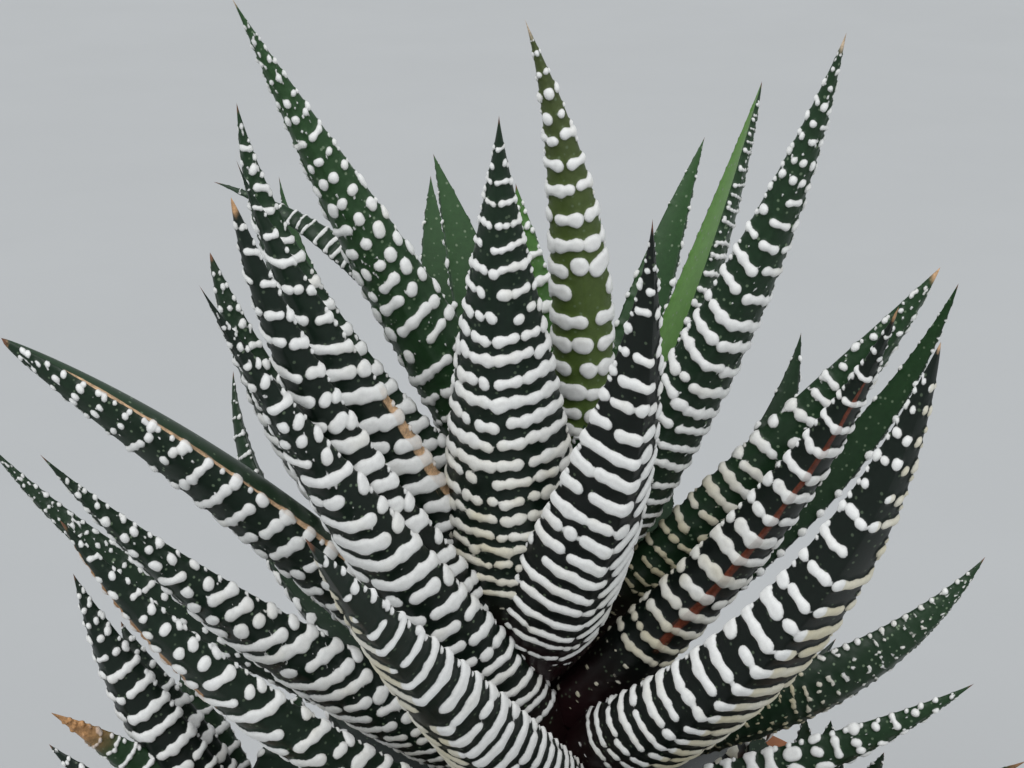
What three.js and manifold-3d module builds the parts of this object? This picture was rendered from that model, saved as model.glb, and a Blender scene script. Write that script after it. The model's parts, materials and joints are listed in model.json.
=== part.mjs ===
// A potted haworthia: one dense rosette of long keeled leaves with raised white bands,
// three young offsets beside it, and gritty soil in a plain tapered terracotta pot.
// Millimetres, +Z up. The origin is the middle of the pot's underside.

import * as THREE from 'three';
import { mergeVertices } from 'three/addons/utils/BufferGeometryUtils.js';
import Module from 'manifold-3d';

const wasm = await Module();
wasm.setup();

// Pot and soil
const POT_HEIGHT = 95;
const RIM_RADIUS = 58;
const RIM_BAND = 22;
const RIM_STEP = 3;
const RIM_FLARE = 2;
const BASE_RADIUS = 40;
const WALL = 5;
const FLOOR = 8;
const DRAIN_RADIUS = 4.5;
const DRAIN_RING = 17;
const DRAIN_HOLES = 3;
const SOIL_BELOW_RIM = 8;
const SOIL_MOUND = 2.5;
const ROUND_SIDES = 36;

// Main stem
const STEM_RADIUS = 6.5;
const STEM_TOP_RADIUS = 4.5;
const STEM_FOOT = 62;
const STEM_TOP = 153;
const BUD_TOP = 158;
const STEM_SIDES = 12;

// Leaves
const THICKNESS = 0.42;
const THICKNESS_FALL = 0.8;
const SHOULDER_ROUNDING = 0.85;
const FULL_WIDTH_AT = 0.68;
const TAPER = 1.1;
const FOOT_SHARE = 0.8;
const FOOT_LENGTH = 0.15;
const BEND_AT = 0.58;
const BAND_PITCH = 8.6;
const BAND_HEIGHT = 0.7;
const BAND_TIP_SHARE = 0.3;
const BAND_GROWTH = 1.4;
const MARGIN_SHARE = 0.6;
const DOTS_FROM = 0.5;
const TIP_RING = 0.985;
const GAP = 0.3;
const ROOM_RINGS = 9;
const ROOM_SLACK = 0.2;

// One row for each leaf of the main rosette: name, foot, tip, bow, sway, width and the
// compass angle that the banded outer face looks to. Bow bends the leaf towards that face
// and sway bends it sideways. The last two values, where given, are how far from the tip
// the leaf reaches its full width, as a share of its length, and how sharply it tapers.
const LEAVES = [
  // heart: the youngest leaves, round the growing point
  ['leaf_heart_1', [0, 0, 154], [-39.5, -10, 231.5], -6.5, -3, 10.6, -92, 0.85, 1.15],
  ['leaf_heart_2', [1, -2, 153.5], [-5, -10, 229], -0.5, 9, 7.6, -90, 0.6, 1.2],
  ['leaf_heart_3', [-1, 2, 154], [-6, 10, 203.5], 0, 1.5, 10, -110],
  ['leaf_heart_4', [-1, 4, 153], [7, 38, 190.5], 3, -2, 8, 85],
  ['leaf_heart_5', [3, 2, 153], [27, 14, 216.5], 1.5, 0, 10.6, 9],
  ['leaf_heart_6', [3, 4, 151], [21.5, 30, 205], 1, 3, 8, 55],
  ['leaf_heart_7', [-3, 3, 153], [-18, 30, 202.5], 1, -3, 10, 120],
  ['leaf_heart_8', [-3, 4, 152], [-19, 42, 196], 4, 5, 10, 115],
  ['leaf_heart_9', [-4, 2, 148], [-41.5, 36, 197.5], 5, 10, 6, 140],
  ['leaf_heart_10', [0, 3, 151], [-48.5, 20, 201], 17, 0, 8, -20],
  ['leaf_heart_11', [0, 4, 147], [-3, 48, 186], 4, 0, 11, 95],
  ['leaf_heart_12', [1, -2, 155], [3, -7, 177], 1, 0, 6, -70],
  ['leaf_heart_13', [2, 1, 156], [5, 7, 180], 1, 0, 6, 60],
  // upper
  ['leaf_upper_1', [-5, -6, 142], [-8, -19, 219.5], -1.5, -1.5, 19.4, -95, 1, 1.15],
  ['leaf_upper_2', [2, -2, 151], [32, -16, 228.5], 0.5, 6, 11, -82, 1, 1],
  ['leaf_upper_3', [-3, 0, 151.5], [-40, -8, 218.5], 5.5, -12.5, 10, -112, 0.85, 1],
  ['leaf_upper_4', [-6, -1, 141.5], [-38.5, -20, 214.5], 5.5, -2.5, 9, -102, 0.65, 1.35],
  ['leaf_upper_5', [6, 1, 143], [46, -14, 199.5], 2.5, 2, 10, -66, 0.65, 0.95],
  ['leaf_upper_6', [6, 3, 134], [38.5, 36, 172.5], 11, -5, 10, 45],
  ['leaf_upper_7', [2, 4, 142], [16, 58, 166], 6, 0, 10, 70],
  ['leaf_upper_8', [-3, 4, 142], [-20, 56, 175], 6, 0, 12, 110],
  // middle
  ['leaf_middle_1', [-5, -6, 140.5], [9, -32, 211], 5, 7, 14.8, -90, 1, 1.2],
  ['leaf_middle_2', [-5, -3, 137.5], [-37, -34, 214], 9, -6, 9, -98, 1, 0.75],
  ['leaf_middle_3', [-6, 0, 137], [-44.5, -8, 199.5], 9, -8, 9, -105, 0.8, 0.8],
  ['leaf_middle_4', [-4, 2, 130], [-48.5, 26, 170], 20, -2.5, 11, 180],
  ['leaf_middle_5', [-7, 0, 124.5], [-69.5, -16, 191], -4, 13.5, 12.4, -146, 0.65, 0.75],
  ['leaf_middle_6', [5, 1, 135], [54.5, 8, 190], 16, -5, 8.6, 35, 1, 0.9],
  ['leaf_middle_7', [1, -6, 131], [37.5, -30, 200], -7, 10, 9.6, -98, 1, 1],
  ['leaf_middle_8', [3.5, -4, 123], [40, -40, 199.5], 15.5, 13, 13.6, -98, 1, 0.85],
  ['leaf_middle_9', [-4, 3, 134], [-34, 56, 160], 7, 0, 12, 120],
  ['leaf_middle_10', [4, 3, 131], [42, 52, 155], 8, 0, 12, 50],
  ['leaf_middle_11', [0, 5, 130], [6, 66, 168], 8, 0, 12, 85],
  // lower
  ['leaf_lower_1', [-2, -5, 125.5], [-40, -40, 206], 1, -3, 13.4, -95, 1, 1.25],
  ['leaf_lower_2', [0.5, -6, 115.5], [-26.5, -66, 189], 1.5, -1, 14.2, -92, 1, 1],
  ['leaf_lower_3', [-5, 1, 119], [-80, 4, 168.5], 7.5, -9.5, 8, -110],
  ['leaf_lower_4', [-5, -2, 119], [-61.5, -32, 182.5], 2, -7, 11, -92, 0.9, 1.1],
  ['leaf_lower_5', [5, 1, 122], [62.5, 8, 148], 5.5, 13.5, 12, -40],
  ['leaf_lower_6', [5, -2, 111], [55.5, -16, 141.5], 2, 4.5, 8.2, -62],
  ['leaf_lower_7', [-4, 3, 115], [-54, 46, 141], 8, 0, 12, 140],
  ['leaf_lower_8', [3, 4, 112], [22, 66, 140], 8, 0, 12, 70],
  ['leaf_lower_9', [-2, 5, 108], [-24, 70, 146], 8, 0, 12, 110],
  ['leaf_lower_10', [5, 2, 104], [50, 46, 112], 4.5, 2, 12, 40],
  ['leaf_lower_11', [2, -5, 106], [30, -60, 146], 8, 0, 13, -65],
  // base: the oldest leaves, spread over the rim
  ['leaf_base_1', [-4.5, -3, 108], [-56.5, -44, 180], 9, -8, 7, -85, 0.6, 0.85],
  ['leaf_base_2', [5, -2, 101], [62.5, -20, 132], 5, 0, 9.5, -15],
  ['leaf_base_3', [-4, 3, 98], [-44, 46, 110], 5, 0, 14, 135],
  ['leaf_base_4', [0, 5, 97], [2, 70, 124], 6, 0, 12, 90],
  ['leaf_base_5', [4, 3, 96], [42, 56, 108], 6, 1, 12, 53],
  ['leaf_base_6', [4, -4, 99], [50, -50, 130], 7, 0, 13, -45],
  ['leaf_base_7', [1, -5, 97], [12, -70, 126], 7, 0, 13, -80],
  ['leaf_base_8', [-4, -4, 96], [-46, -50, 122], 6, 0, 13, -130],
];

// Offsets
const OFFSET_TOP_RADIUS = 2.2;
const OFFSET_LEAF_FOOT = 1;
const OFFSET_LEAF_STEP = 0.4;
const OFFSET_BAND_PITCH = 9;

// The three offsets: name, foot in the soil, crown, stem radius and leaves. A leaf of an
// offset has tip, bow, sway, width and the compass angle of its outer face.
const OFFSETS = [
  ['offset_left', [-42, 4, 78], [-47, 4, 102], 3.5, [
    [[-69, 2, 148.5], 4, 0, 10.5, -112],
    [[-65.5, 12, 135], 4, 0, 11, -95],
    [[-58.5, 18, 124], 2, 0, 9, -75],
    [[-72, -6, 130.5], -4, 0, 9, -120],
    [[-76, 4, 118.5], 2, 0, 9, -150],
    [[-40, 20, 118], 1, 0, 9.5, 60],
    [[-66, -16, 118], 2, 0, 9, -130],
    [[-48, -14, 124], 2, 0, 8.5, -90],
  ]],
  ['offset_right', [37, 4, 78], [39, 5, 98], 3.5, [
    [[38, 8, 121], 1, 0, 6, 100],
    [[51, 10, 113], 2, 0, 7, 20],
    [[31, 16, 115], 2, 0, 9, 130],
    [[56, 0, 111], 2, 0, 7.5, -10],
    [[45, 22, 111], 2, 0, 9, 65],
    [[50, -10, 110], 2, 0, 7, -50],
  ]],
  ['offset_front', [-14, -38, 78], [-15, -40, 99], 3.5, [
    [[-12, -43, 127], 1, 0, 6, -60],
    [[-26, -50, 122], 2, 0, 7, -130],
    [[-2, -54, 118], 2, 0, 7, -55],
    [[-36, -42, 114], 2, 0, 7.5, -170],
    [[-17, -64, 112], 2, 0, 7.5, -95],
  ]],
];

const terracotta = new THREE.MeshStandardMaterial({ color: 0xb5683f, roughness: 0.9, metalness: 0 });
const grit = new THREE.MeshStandardMaterial({ color: 0x4a3a2c, roughness: 1, metalness: 0 });
const stemSkin = new THREE.MeshStandardMaterial({ color: 0x5a3a2a, roughness: 0.8, metalness: 0 });
const leafSkin = new THREE.MeshStandardMaterial({ color: 0x2c3f2e, roughness: 0.55, metalness: 0 });

// Closed mesh to solid and back

function solidOf(geometry) {
  const bare = geometry.clone();
  bare.deleteAttribute('normal');
  bare.deleteAttribute('uv');
  const merged = mergeVertices(bare, 1e-4);
  return new wasm.Manifold(new wasm.Mesh({
    numProp: 3,
    vertProperties: new Float32Array(merged.attributes.position.array),
    triVerts: new Uint32Array(merged.index.array),
  }));
}

function geometryOf(solid) {
  const mesh = solid.getMesh();
  const geometry = new THREE.BufferGeometry();
  geometry.setAttribute('position', new THREE.BufferAttribute(mesh.vertProperties, 3));
  geometry.setIndex(new THREE.BufferAttribute(mesh.triVerts, 1));
  return geometry;
}

function namedMesh(name, geometry, material) {
  const mesh = new THREE.Mesh(geometry, material.clone());
  mesh.name = name;
  return mesh;
}

// A cut can leave crumbs behind, so only the largest body of what remains is kept.
function largestBody(solid) {
  const bodies = solid.decompose();
  return bodies.reduce((best, body) => (body.volume() > best.volume() ? body : best));
}

// Leaves

function leafFrame(row) {
  const [name, foot, tip, bow, sway, width, facing, full = FULL_WIDTH_AT, taper = TAPER] = row;
  const start = new THREE.Vector3(...foot);
  const end = new THREE.Vector3(...tip);
  const chord = end.clone().sub(start);
  const along = chord.clone().normalize();
  const angle = THREE.MathUtils.degToRad(facing);
  const outward = new THREE.Vector3(Math.cos(angle), Math.sin(angle), 0);
  outward.addScaledVector(along, -outward.dot(along)).normalize();
  const side = new THREE.Vector3().crossVectors(along, outward);
  const bend = start.clone().addScaledVector(chord, BEND_AT);
  bend.addScaledVector(outward, bow).addScaledVector(side, sway);
  const path = new THREE.QuadraticBezierCurve3(start, bend, end);
  return { name, path, outward, width, full, taper, length: chord.length() };
}

function halfWidthAt(leaf, t) {
  const fromTip = Math.min(1, (1 - t) / leaf.full);
  const spread = Math.sin(fromTip * Math.PI / 2) ** leaf.taper;
  const foot = FOOT_SHARE + (1 - FOOT_SHARE) * Math.min(1, t / FOOT_LENGTH);
  return leaf.width / 2 * spread * foot;
}

// Whole bands in the lower half of the leaf, staggered dots in the upper half.
function raisedAt(t, ring, corner) {
  if (t < DOTS_FROM) return ring % 2;
  return (ring + corner) % 2;
}

// One ring of five corners: the two margins, and between them the two shoulders and the
// keel of the outer face. The inner face is flat.
function leafRing(leaf, t, ring, bandHeight, grow) {
  const centre = leaf.path.getPoint(t);
  const tangent = leaf.path.getTangent(t);
  const out = leaf.outward.clone().addScaledVector(tangent, -leaf.outward.dot(tangent)).normalize();
  const side = new THREE.Vector3().crossVectors(tangent, out);
  const half = halfWidthAt(leaf, t);
  const depth = THICKNESS * leaf.width * (2 * half / leaf.width) ** THICKNESS_FALL;
  const fade = Math.min(1, BAND_TIP_SHARE + BAND_GROWTH * (1 - t));
  const corners = [];
  for (let corner = 0; corner < 5; corner += 1) {
    const turn = corner * Math.PI / 4;
    const raised = bandHeight * fade * raisedAt(t, ring, corner);
    const across = (half + grow + MARGIN_SHARE * raised) * Math.cos(turn);
    const outwards = depth * Math.sin(turn) ** SHOULDER_ROUNDING + (raised + grow) * Math.sin(turn);
    corners.push([across, corner === 0 || corner === 4 ? -grow : outwards]);
  }
  return corners.map(([x, y]) => centre.clone().addScaledVector(side, x).addScaledVector(out, y));
}

// Rings joined by triangles, closed by a fan at the foot and at the tip.
function ringedGeometry(rings, footPoint, tipPoint) {
  const corners = rings[0].length;
  const points = [...rings.flat(), footPoint, tipPoint];
  const footIndex = points.length - 2;
  const tipIndex = points.length - 1;
  const index = [];
  rings.forEach((ring, level) => {
    for (let corner = 0; corner < corners; corner += 1) {
      const next = (corner + 1) % corners;
      const a = level * corners + corner;
      const b = level * corners + next;
      if (level === 0) index.push(footIndex, a, b);
      if (level === rings.length - 1) {
        index.push(tipIndex, b, a);
      } else {
        index.push(a, b + corners, b, a, a + corners, b + corners);
      }
    }
  });
  const geometry = new THREE.BufferGeometry().setFromPoints(points);
  geometry.setIndex(index);
  return geometry;
}

function leafGeometry(leaf, pitch = BAND_PITCH) {
  const steps = 2 * Math.round(leaf.length / pitch);
  const rings = [];
  for (let ring = 0; ring <= steps; ring += 1) {
    const t = TIP_RING * ring / steps;
    rings.push(leafRing(leaf, t, ring, BAND_HEIGHT, 0));
  }
  const foot = leaf.path.getPoint(0);
  const tip = leaf.path.getPoint(1);
  return ringedGeometry(rings, foot, tip);
}

// The space that a leaf keeps free of its neighbours: its bands and a small gap.
function leafRoom(leaf) {
  const rings = [];
  for (let ring = 0; ring <= ROOM_RINGS; ring += 1) {
    rings.push(leafRing(leaf, TIP_RING * ring / ROOM_RINGS, 0, 0, BAND_HEIGHT + GAP + ROOM_SLACK));
  }
  const tip = leaf.path.getPoint(1).addScaledVector(leaf.path.getTangent(1), GAP);
  const foot = leaf.path.getPoint(0);
  return solidOf(ringedGeometry(rings, foot, tip));
}

// Main stem, with the growing point at its top

function latheAboutZ(profile, sides) {
  const points = profile.map(([radius, height]) => new THREE.Vector2(radius, height));
  return new THREE.LatheGeometry(points, sides).rotateX(Math.PI / 2);
}

function stemGeometry(grow) {
  return latheAboutZ([
    [0, STEM_FOOT - grow],
    [STEM_RADIUS + grow, STEM_FOOT - grow],
    [STEM_RADIUS + grow, (STEM_FOOT + STEM_TOP) / 2],
    [STEM_TOP_RADIUS + grow, STEM_TOP],
    [0, BUD_TOP + grow],
  ], STEM_SIDES);
}

// Offsets: a short leaning stem and its leaves, grown together

function leaningStem(foot, crown, radius, grow) {
  const start = new THREE.Vector3(...foot);
  const end = new THREE.Vector3(...crown);
  const reach = end.clone().sub(start);
  const length = reach.length() + 2 * grow;
  const stem = new THREE.CylinderGeometry(OFFSET_TOP_RADIUS + grow, radius + grow, length, STEM_SIDES);
  const turn = new THREE.Quaternion().setFromUnitVectors(new THREE.Vector3(0, 1, 0), reach.normalize());
  return stem.applyQuaternion(turn).translate(...start.add(end).divideScalar(2).toArray());
}

function offsetSolid([name, foot, crown, radius, rows]) {
  let solid = solidOf(leaningStem(foot, crown, radius, 0));
  rows.forEach(([tip, bow, sway, width, facing], place) => {
    const low = crown[2] - OFFSET_LEAF_FOOT - OFFSET_LEAF_STEP * place;
    const leaf = leafFrame([name, [crown[0], crown[1], low], tip, bow, sway, width, facing]);
    solid = solid.add(solidOf(leafGeometry(leaf, OFFSET_BAND_PITCH)));
  });
  return solid;
}

// Pot and soil

function innerRadiusAt(height) {
  const top = RIM_RADIUS - WALL;
  const bottom = BASE_RADIUS - WALL;
  return bottom + (top - bottom) * (height - FLOOR) / (POT_HEIGHT - FLOOR);
}

function potSolid() {
  const bandFoot = POT_HEIGHT - RIM_BAND;
  const bodyTop = RIM_RADIUS - RIM_FLARE - RIM_STEP;
  let pot = solidOf(latheAboutZ([
    [0, 0],
    [BASE_RADIUS, 0],
    [bodyTop, bandFoot],
    [bodyTop + RIM_STEP, bandFoot],
    [RIM_RADIUS, POT_HEIGHT],
    [innerRadiusAt(POT_HEIGHT), POT_HEIGHT],
    [innerRadiusAt(FLOOR), FLOOR],
    [0, FLOOR],
  ], ROUND_SIDES));
  for (let hole = 0; hole < DRAIN_HOLES; hole += 1) {
    const drain = new THREE.CylinderGeometry(DRAIN_RADIUS, DRAIN_RADIUS, 3 * FLOOR, STEM_SIDES);
    drain.rotateX(Math.PI / 2).translate(DRAIN_RING, 0, FLOOR / 2).rotateZ(hole * 2 * Math.PI / DRAIN_HOLES);
    pot = pot.subtract(solidOf(drain));
  }
  return pot;
}

function soilSolid() {
  const edge = POT_HEIGHT - SOIL_BELOW_RIM;
  let soil = solidOf(latheAboutZ([
    [0, FLOOR + GAP],
    [innerRadiusAt(FLOOR) - GAP, FLOOR + GAP],
    [innerRadiusAt(edge) - GAP, edge],
    [innerRadiusAt(edge) / 2, edge + SOIL_MOUND],
    [0, edge + SOIL_MOUND],
  ], ROUND_SIDES));
  soil = soil.subtract(solidOf(stemGeometry(GAP)));
  OFFSETS.forEach(([, foot, crown, radius]) => {
    soil = soil.subtract(solidOf(leaningStem(foot, crown, radius, GAP)));
  });
  return soil;
}

// The plant is put together from the growing point outwards. Each leaf gives way to the
// stem and to the younger leaves that it is pressed against.
function rosetteMeshes() {
  const meshes = [];
  const taken = [solidOf(stemGeometry(GAP))];
  const fromTheTop = [...LEAVES].sort((a, b) => b[1][2] - a[1][2]);
  fromTheTop.forEach((row) => {
    const leaf = leafFrame(row);
    let solid = solidOf(leafGeometry(leaf));
    taken.forEach((room) => { solid = solid.subtract(room); });
    meshes.push(namedMesh(leaf.name, geometryOf(largestBody(solid)), leafSkin));
    taken.push(leafRoom(leaf));
  });
  OFFSETS.forEach((row) => {
    let solid = offsetSolid(row);
    taken.forEach((room) => { solid = solid.subtract(room); });
    meshes.push(namedMesh(row[0], geometryOf(largestBody(solid)), leafSkin));
  });
  return meshes;
}

const haworthia = new THREE.Group();
haworthia.add(namedMesh('pot', geometryOf(potSolid()), terracotta));
haworthia.add(namedMesh('soil', geometryOf(soilSolid()), grit));
haworthia.add(namedMesh('stem', stemGeometry(0), stemSkin));
haworthia.add(...rosetteMeshes());

export default haworthia;
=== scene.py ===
# %% [markdown]
# # A potted haworthia
#
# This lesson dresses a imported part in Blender: one dense rosette of long keeled leaves with
# raised white bands, three young offsets, gritty soil and a plain terracotta pot. The packed
# part is a fixed frame. Every leaf, stem and pot that is made here stands in the place of one
# of its nodes, so the part comes first.

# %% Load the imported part
import json
import math

import bpy
import numpy as np
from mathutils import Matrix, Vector

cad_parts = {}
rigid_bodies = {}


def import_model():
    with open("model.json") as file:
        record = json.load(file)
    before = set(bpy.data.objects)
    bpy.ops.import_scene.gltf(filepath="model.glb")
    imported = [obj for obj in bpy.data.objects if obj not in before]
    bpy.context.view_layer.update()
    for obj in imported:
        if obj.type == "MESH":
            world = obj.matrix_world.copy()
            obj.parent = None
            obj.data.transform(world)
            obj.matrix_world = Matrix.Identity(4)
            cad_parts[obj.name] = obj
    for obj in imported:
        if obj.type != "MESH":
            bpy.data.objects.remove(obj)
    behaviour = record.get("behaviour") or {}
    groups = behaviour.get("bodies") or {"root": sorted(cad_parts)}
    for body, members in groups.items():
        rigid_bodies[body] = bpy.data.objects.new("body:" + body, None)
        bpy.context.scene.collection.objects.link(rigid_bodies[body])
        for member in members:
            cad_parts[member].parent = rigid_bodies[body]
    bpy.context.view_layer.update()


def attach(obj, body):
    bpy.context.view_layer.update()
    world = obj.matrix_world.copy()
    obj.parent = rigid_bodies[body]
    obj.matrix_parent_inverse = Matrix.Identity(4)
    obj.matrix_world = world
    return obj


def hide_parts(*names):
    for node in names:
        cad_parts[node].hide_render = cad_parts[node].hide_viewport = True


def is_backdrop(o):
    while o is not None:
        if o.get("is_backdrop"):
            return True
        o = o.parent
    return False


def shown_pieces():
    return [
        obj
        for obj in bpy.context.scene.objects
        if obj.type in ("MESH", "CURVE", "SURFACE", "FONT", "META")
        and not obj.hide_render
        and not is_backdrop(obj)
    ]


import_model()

# %% [markdown]
# ## The camera
#
# The photograph looks at the plant from close by and a little from above. A 60 mm lens on a
# 36 mm sensor gives its flat perspective, and the camera leans down by 22 degrees. It looks
# straight along the part's Y axis, so it turns about X alone.

# %% Place the camera
MM = 0.001
LENS_MM = 60
SENSOR_MM = 36
CAMERA_PLACE = (-6.5, -213.25, 264.56)
CAMERA_DROP_DEG = 22
CAMERA_SEES_M = (0.01, 20)

camera_data = bpy.data.cameras.new("camera")
camera_data.lens = LENS_MM
camera_data.sensor_width = SENSOR_MM
camera_data.clip_start, camera_data.clip_end = CAMERA_SEES_M
camera = bpy.data.objects.new("camera", camera_data)
camera.location = Vector(CAMERA_PLACE) * MM
camera.rotation_euler = (math.radians(90 - CAMERA_DROP_DEG), 0, 0)
bpy.context.scene.collection.objects.link(camera)
bpy.context.scene.camera = camera
print("camera at", [round(x, 4) for x in camera.location])

# %% [markdown]
# ## Small helpers
#
# An operator acts on everything that is selected, and loading the part leaves its nodes
# selected. So each modelling step first lets go of everything. Edges are picked in code by
# where their ends are, which needs no window.


# %% Selecting and editing by place
SAME_HEIGHT = 1e-4


def let_go():
    if bpy.context.mode != "OBJECT":
        bpy.ops.object.mode_set(mode="OBJECT")
    bpy.ops.object.select_all(action="DESELECT")


def take(piece):
    let_go()
    piece.select_set(True)
    bpy.context.view_layer.objects.active = piece


def pick_long_edges(piece):
    """Selects the edges that run from one height to another, and stays in edit mode."""
    take(piece)
    bpy.ops.object.mode_set(mode="EDIT")
    bpy.ops.mesh.select_mode(type="EDGE")
    bpy.ops.mesh.select_all(action="DESELECT")
    bpy.ops.object.mode_set(mode="OBJECT")
    points = piece.data.vertices
    for edge in piece.data.edges:
        first, second = edge.vertices
        edge.select = abs(points[first].co.z - points[second].co.z) > SAME_HEIGHT
    bpy.ops.object.mode_set(mode="EDIT")


def unit_tube(sides):
    """A tube of radius 1 and height 1 on the ground, with a fan of triangles at each end."""
    let_go()
    bpy.ops.mesh.primitive_cylinder_add(
        vertices=sides, radius=1, depth=1, end_fill_type="TRIFAN", location=(0, 0, 0.5))
    bpy.ops.object.transform_apply(location=True, rotation=True, scale=True)
    return bpy.context.active_object


def apply_modifiers(piece):
    take(piece)
    for modifier in list(piece.modifiers):
        bpy.ops.object.modifier_apply(modifier=modifier.name)


def settle(piece, name, material, node):
    """Names a finished piece, gives it its material, and lets it stand for its node."""
    take(piece)
    bpy.ops.object.transform_apply(location=True, rotation=True, scale=True)
    piece.name = name
    piece.data.name = name
    piece.data.materials.clear()
    piece.data.materials.append(material)
    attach(piece, "root")
    if node:
        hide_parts(node)


print("loading the part left", len(bpy.context.selected_objects), "objects selected")

# %% [markdown]
# ## The rosette's plan
#
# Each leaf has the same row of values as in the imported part: its foot and tip in millimetres,
# how far it bows towards its outer face and sways to the side, its width, and the compass
# angle that its banded outer face looks to. Some rows end with how far from the tip the full
# width is reached and how sharply the leaf tapers. With the same rows and the same formula the
# fine leaf lies exactly where the plain solid lies.

# %% Plan of the leaves
FULL_WIDTH_AT = 0.68
TAPER = 1.1

LEAVES = [
    ("leaf_heart_1", (0, 0, 154), (-39.5, -10, 231.5), -6.5, -3, 10.6, -92, 0.85, 1.15),
    ("leaf_heart_2", (1, -2, 153.5), (-5, -10, 229), -0.5, 9, 7.6, -90, 0.6, 1.2),
    ("leaf_heart_3", (-1, 2, 154), (-6, 10, 203.5), 0, 1.5, 10, -110),
    ("leaf_heart_4", (-1, 4, 153), (7, 38, 190.5), 3, -2, 8, 85),
    ("leaf_heart_5", (3, 2, 153), (27, 14, 216.5), 1.5, 0, 10.6, 9),
    ("leaf_heart_6", (3, 4, 151), (21.5, 30, 205), 1, 3, 8, 55),
    ("leaf_heart_7", (-3, 3, 153), (-18, 30, 202.5), 1, -3, 10, 120),
    ("leaf_heart_8", (-3, 4, 152), (-19, 42, 196), 4, 5, 10, 115),
    ("leaf_heart_9", (-4, 2, 148), (-41.5, 36, 197.5), 5, 10, 6, 140),
    ("leaf_heart_10", (0, 3, 151), (-48.5, 20, 201), 17, 0, 8, -20),
    ("leaf_heart_11", (0, 4, 147), (-3, 48, 186), 4, 0, 11, 95),
    ("leaf_heart_12", (1, -2, 155), (3, -7, 177), 1, 0, 6, -70),
    ("leaf_heart_13", (2, 1, 156), (5, 7, 180), 1, 0, 6, 60),
    ("leaf_upper_1", (-5, -6, 142), (-8, -19, 219.5), -1.5, -1.5, 19.4, -95, 1, 1.15),
    ("leaf_upper_2", (2, -2, 151), (32, -16, 228.5), 0.5, 6, 11, -82, 1, 1),
    ("leaf_upper_3", (-3, 0, 151.5), (-40, -8, 218.5), 5.5, -12.5, 10, -112, 0.85, 1),
    ("leaf_upper_4", (-6, -1, 141.5), (-38.5, -20, 214.5), 5.5, -2.5, 9, -102, 0.65, 1.35),
    ("leaf_upper_5", (6, 1, 143), (46, -14, 199.5), 2.5, 2, 10, -66, 0.65, 0.95),
    ("leaf_upper_6", (6, 3, 134), (38.5, 36, 172.5), 11, -5, 10, 45),
    ("leaf_upper_7", (2, 4, 142), (16, 58, 166), 6, 0, 10, 70),
    ("leaf_upper_8", (-3, 4, 142), (-20, 56, 175), 6, 0, 12, 110),
    ("leaf_middle_1", (-5, -6, 140.5), (9, -32, 211), 5, 7, 14.8, -90, 1, 1.2),
    ("leaf_middle_2", (-5, -3, 137.5), (-37, -34, 214), 9, -6, 9, -98, 1, 0.75),
    ("leaf_middle_3", (-6, 0, 137), (-44.5, -8, 199.5), 9, -8, 9, -105, 0.8, 0.8),
    ("leaf_middle_4", (-4, 2, 130), (-48.5, 26, 170), 20, -2.5, 11, 180),
    ("leaf_middle_5", (-7, 0, 124.5), (-69.5, -16, 191), -4, 13.5, 12.4, -146, 0.65, 0.75),
    ("leaf_middle_6", (5, 1, 135), (54.5, 8, 190), 16, -5, 8.6, 35, 1, 0.9),
    ("leaf_middle_7", (1, -6, 131), (37.5, -30, 200), -7, 10, 9.6, -98, 1, 1),
    ("leaf_middle_8", (3.5, -4, 123), (40, -40, 199.5), 15.5, 13, 13.6, -98, 1, 0.85),
    ("leaf_middle_9", (-4, 3, 134), (-34, 56, 160), 7, 0, 12, 120),
    ("leaf_middle_10", (4, 3, 131), (42, 52, 155), 8, 0, 12, 50),
    ("leaf_middle_11", (0, 5, 130), (6, 66, 168), 8, 0, 12, 85),
    ("leaf_lower_1", (-2, -5, 125.5), (-40, -40, 206), 1, -3, 13.4, -95, 1, 1.25),
    ("leaf_lower_2", (0.5, -6, 115.5), (-26.5, -66, 189), 1.5, -1, 14.2, -92, 1, 1),
    ("leaf_lower_3", (-5, 1, 119), (-80, 4, 168.5), 7.5, -9.5, 8, -110),
    ("leaf_lower_4", (-5, -2, 119), (-61.5, -32, 182.5), 2, -7, 11, -92, 0.9, 1.1),
    ("leaf_lower_5", (5, 1, 122), (62.5, 8, 148), 5.5, 13.5, 12, -40),
    ("leaf_lower_6", (5, -2, 111), (55.5, -16, 141.5), 2, 4.5, 8.2, -62),
    ("leaf_lower_7", (-4, 3, 115), (-54, 46, 141), 8, 0, 12, 140),
    ("leaf_lower_8", (3, 4, 112), (22, 66, 140), 8, 0, 12, 70),
    ("leaf_lower_9", (-2, 5, 108), (-24, 70, 146), 8, 0, 12, 110),
    ("leaf_lower_10", (5, 2, 104), (50, 46, 112), 4.5, 2, 12, 40),
    ("leaf_lower_11", (2, -5, 106), (30, -60, 146), 8, 0, 13, -65),
    ("leaf_base_1", (-4.5, -3, 108), (-56.5, -44, 180), 9, -8, 7, -85, 0.6, 0.85),
    ("leaf_base_2", (5, -2, 101), (62.5, -20, 132), 5, 0, 9.5, -15),
    ("leaf_base_3", (-4, 3, 98), (-44, 46, 110), 5, 0, 14, 135),
    ("leaf_base_4", (0, 5, 97), (2, 70, 124), 6, 0, 12, 90),
    ("leaf_base_5", (4, 3, 96), (42, 56, 108), 6, 1, 12, 53),
    ("leaf_base_6", (4, -4, 99), (50, -50, 130), 7, 0, 13, -45),
    ("leaf_base_7", (1, -5, 97), (12, -70, 126), 7, 0, 13, -80),
    ("leaf_base_8", (-4, -4, 96), (-46, -50, 122), 6, 0, 13, -130),
]
print(len(LEAVES), "leaves in the main rosette")

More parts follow.
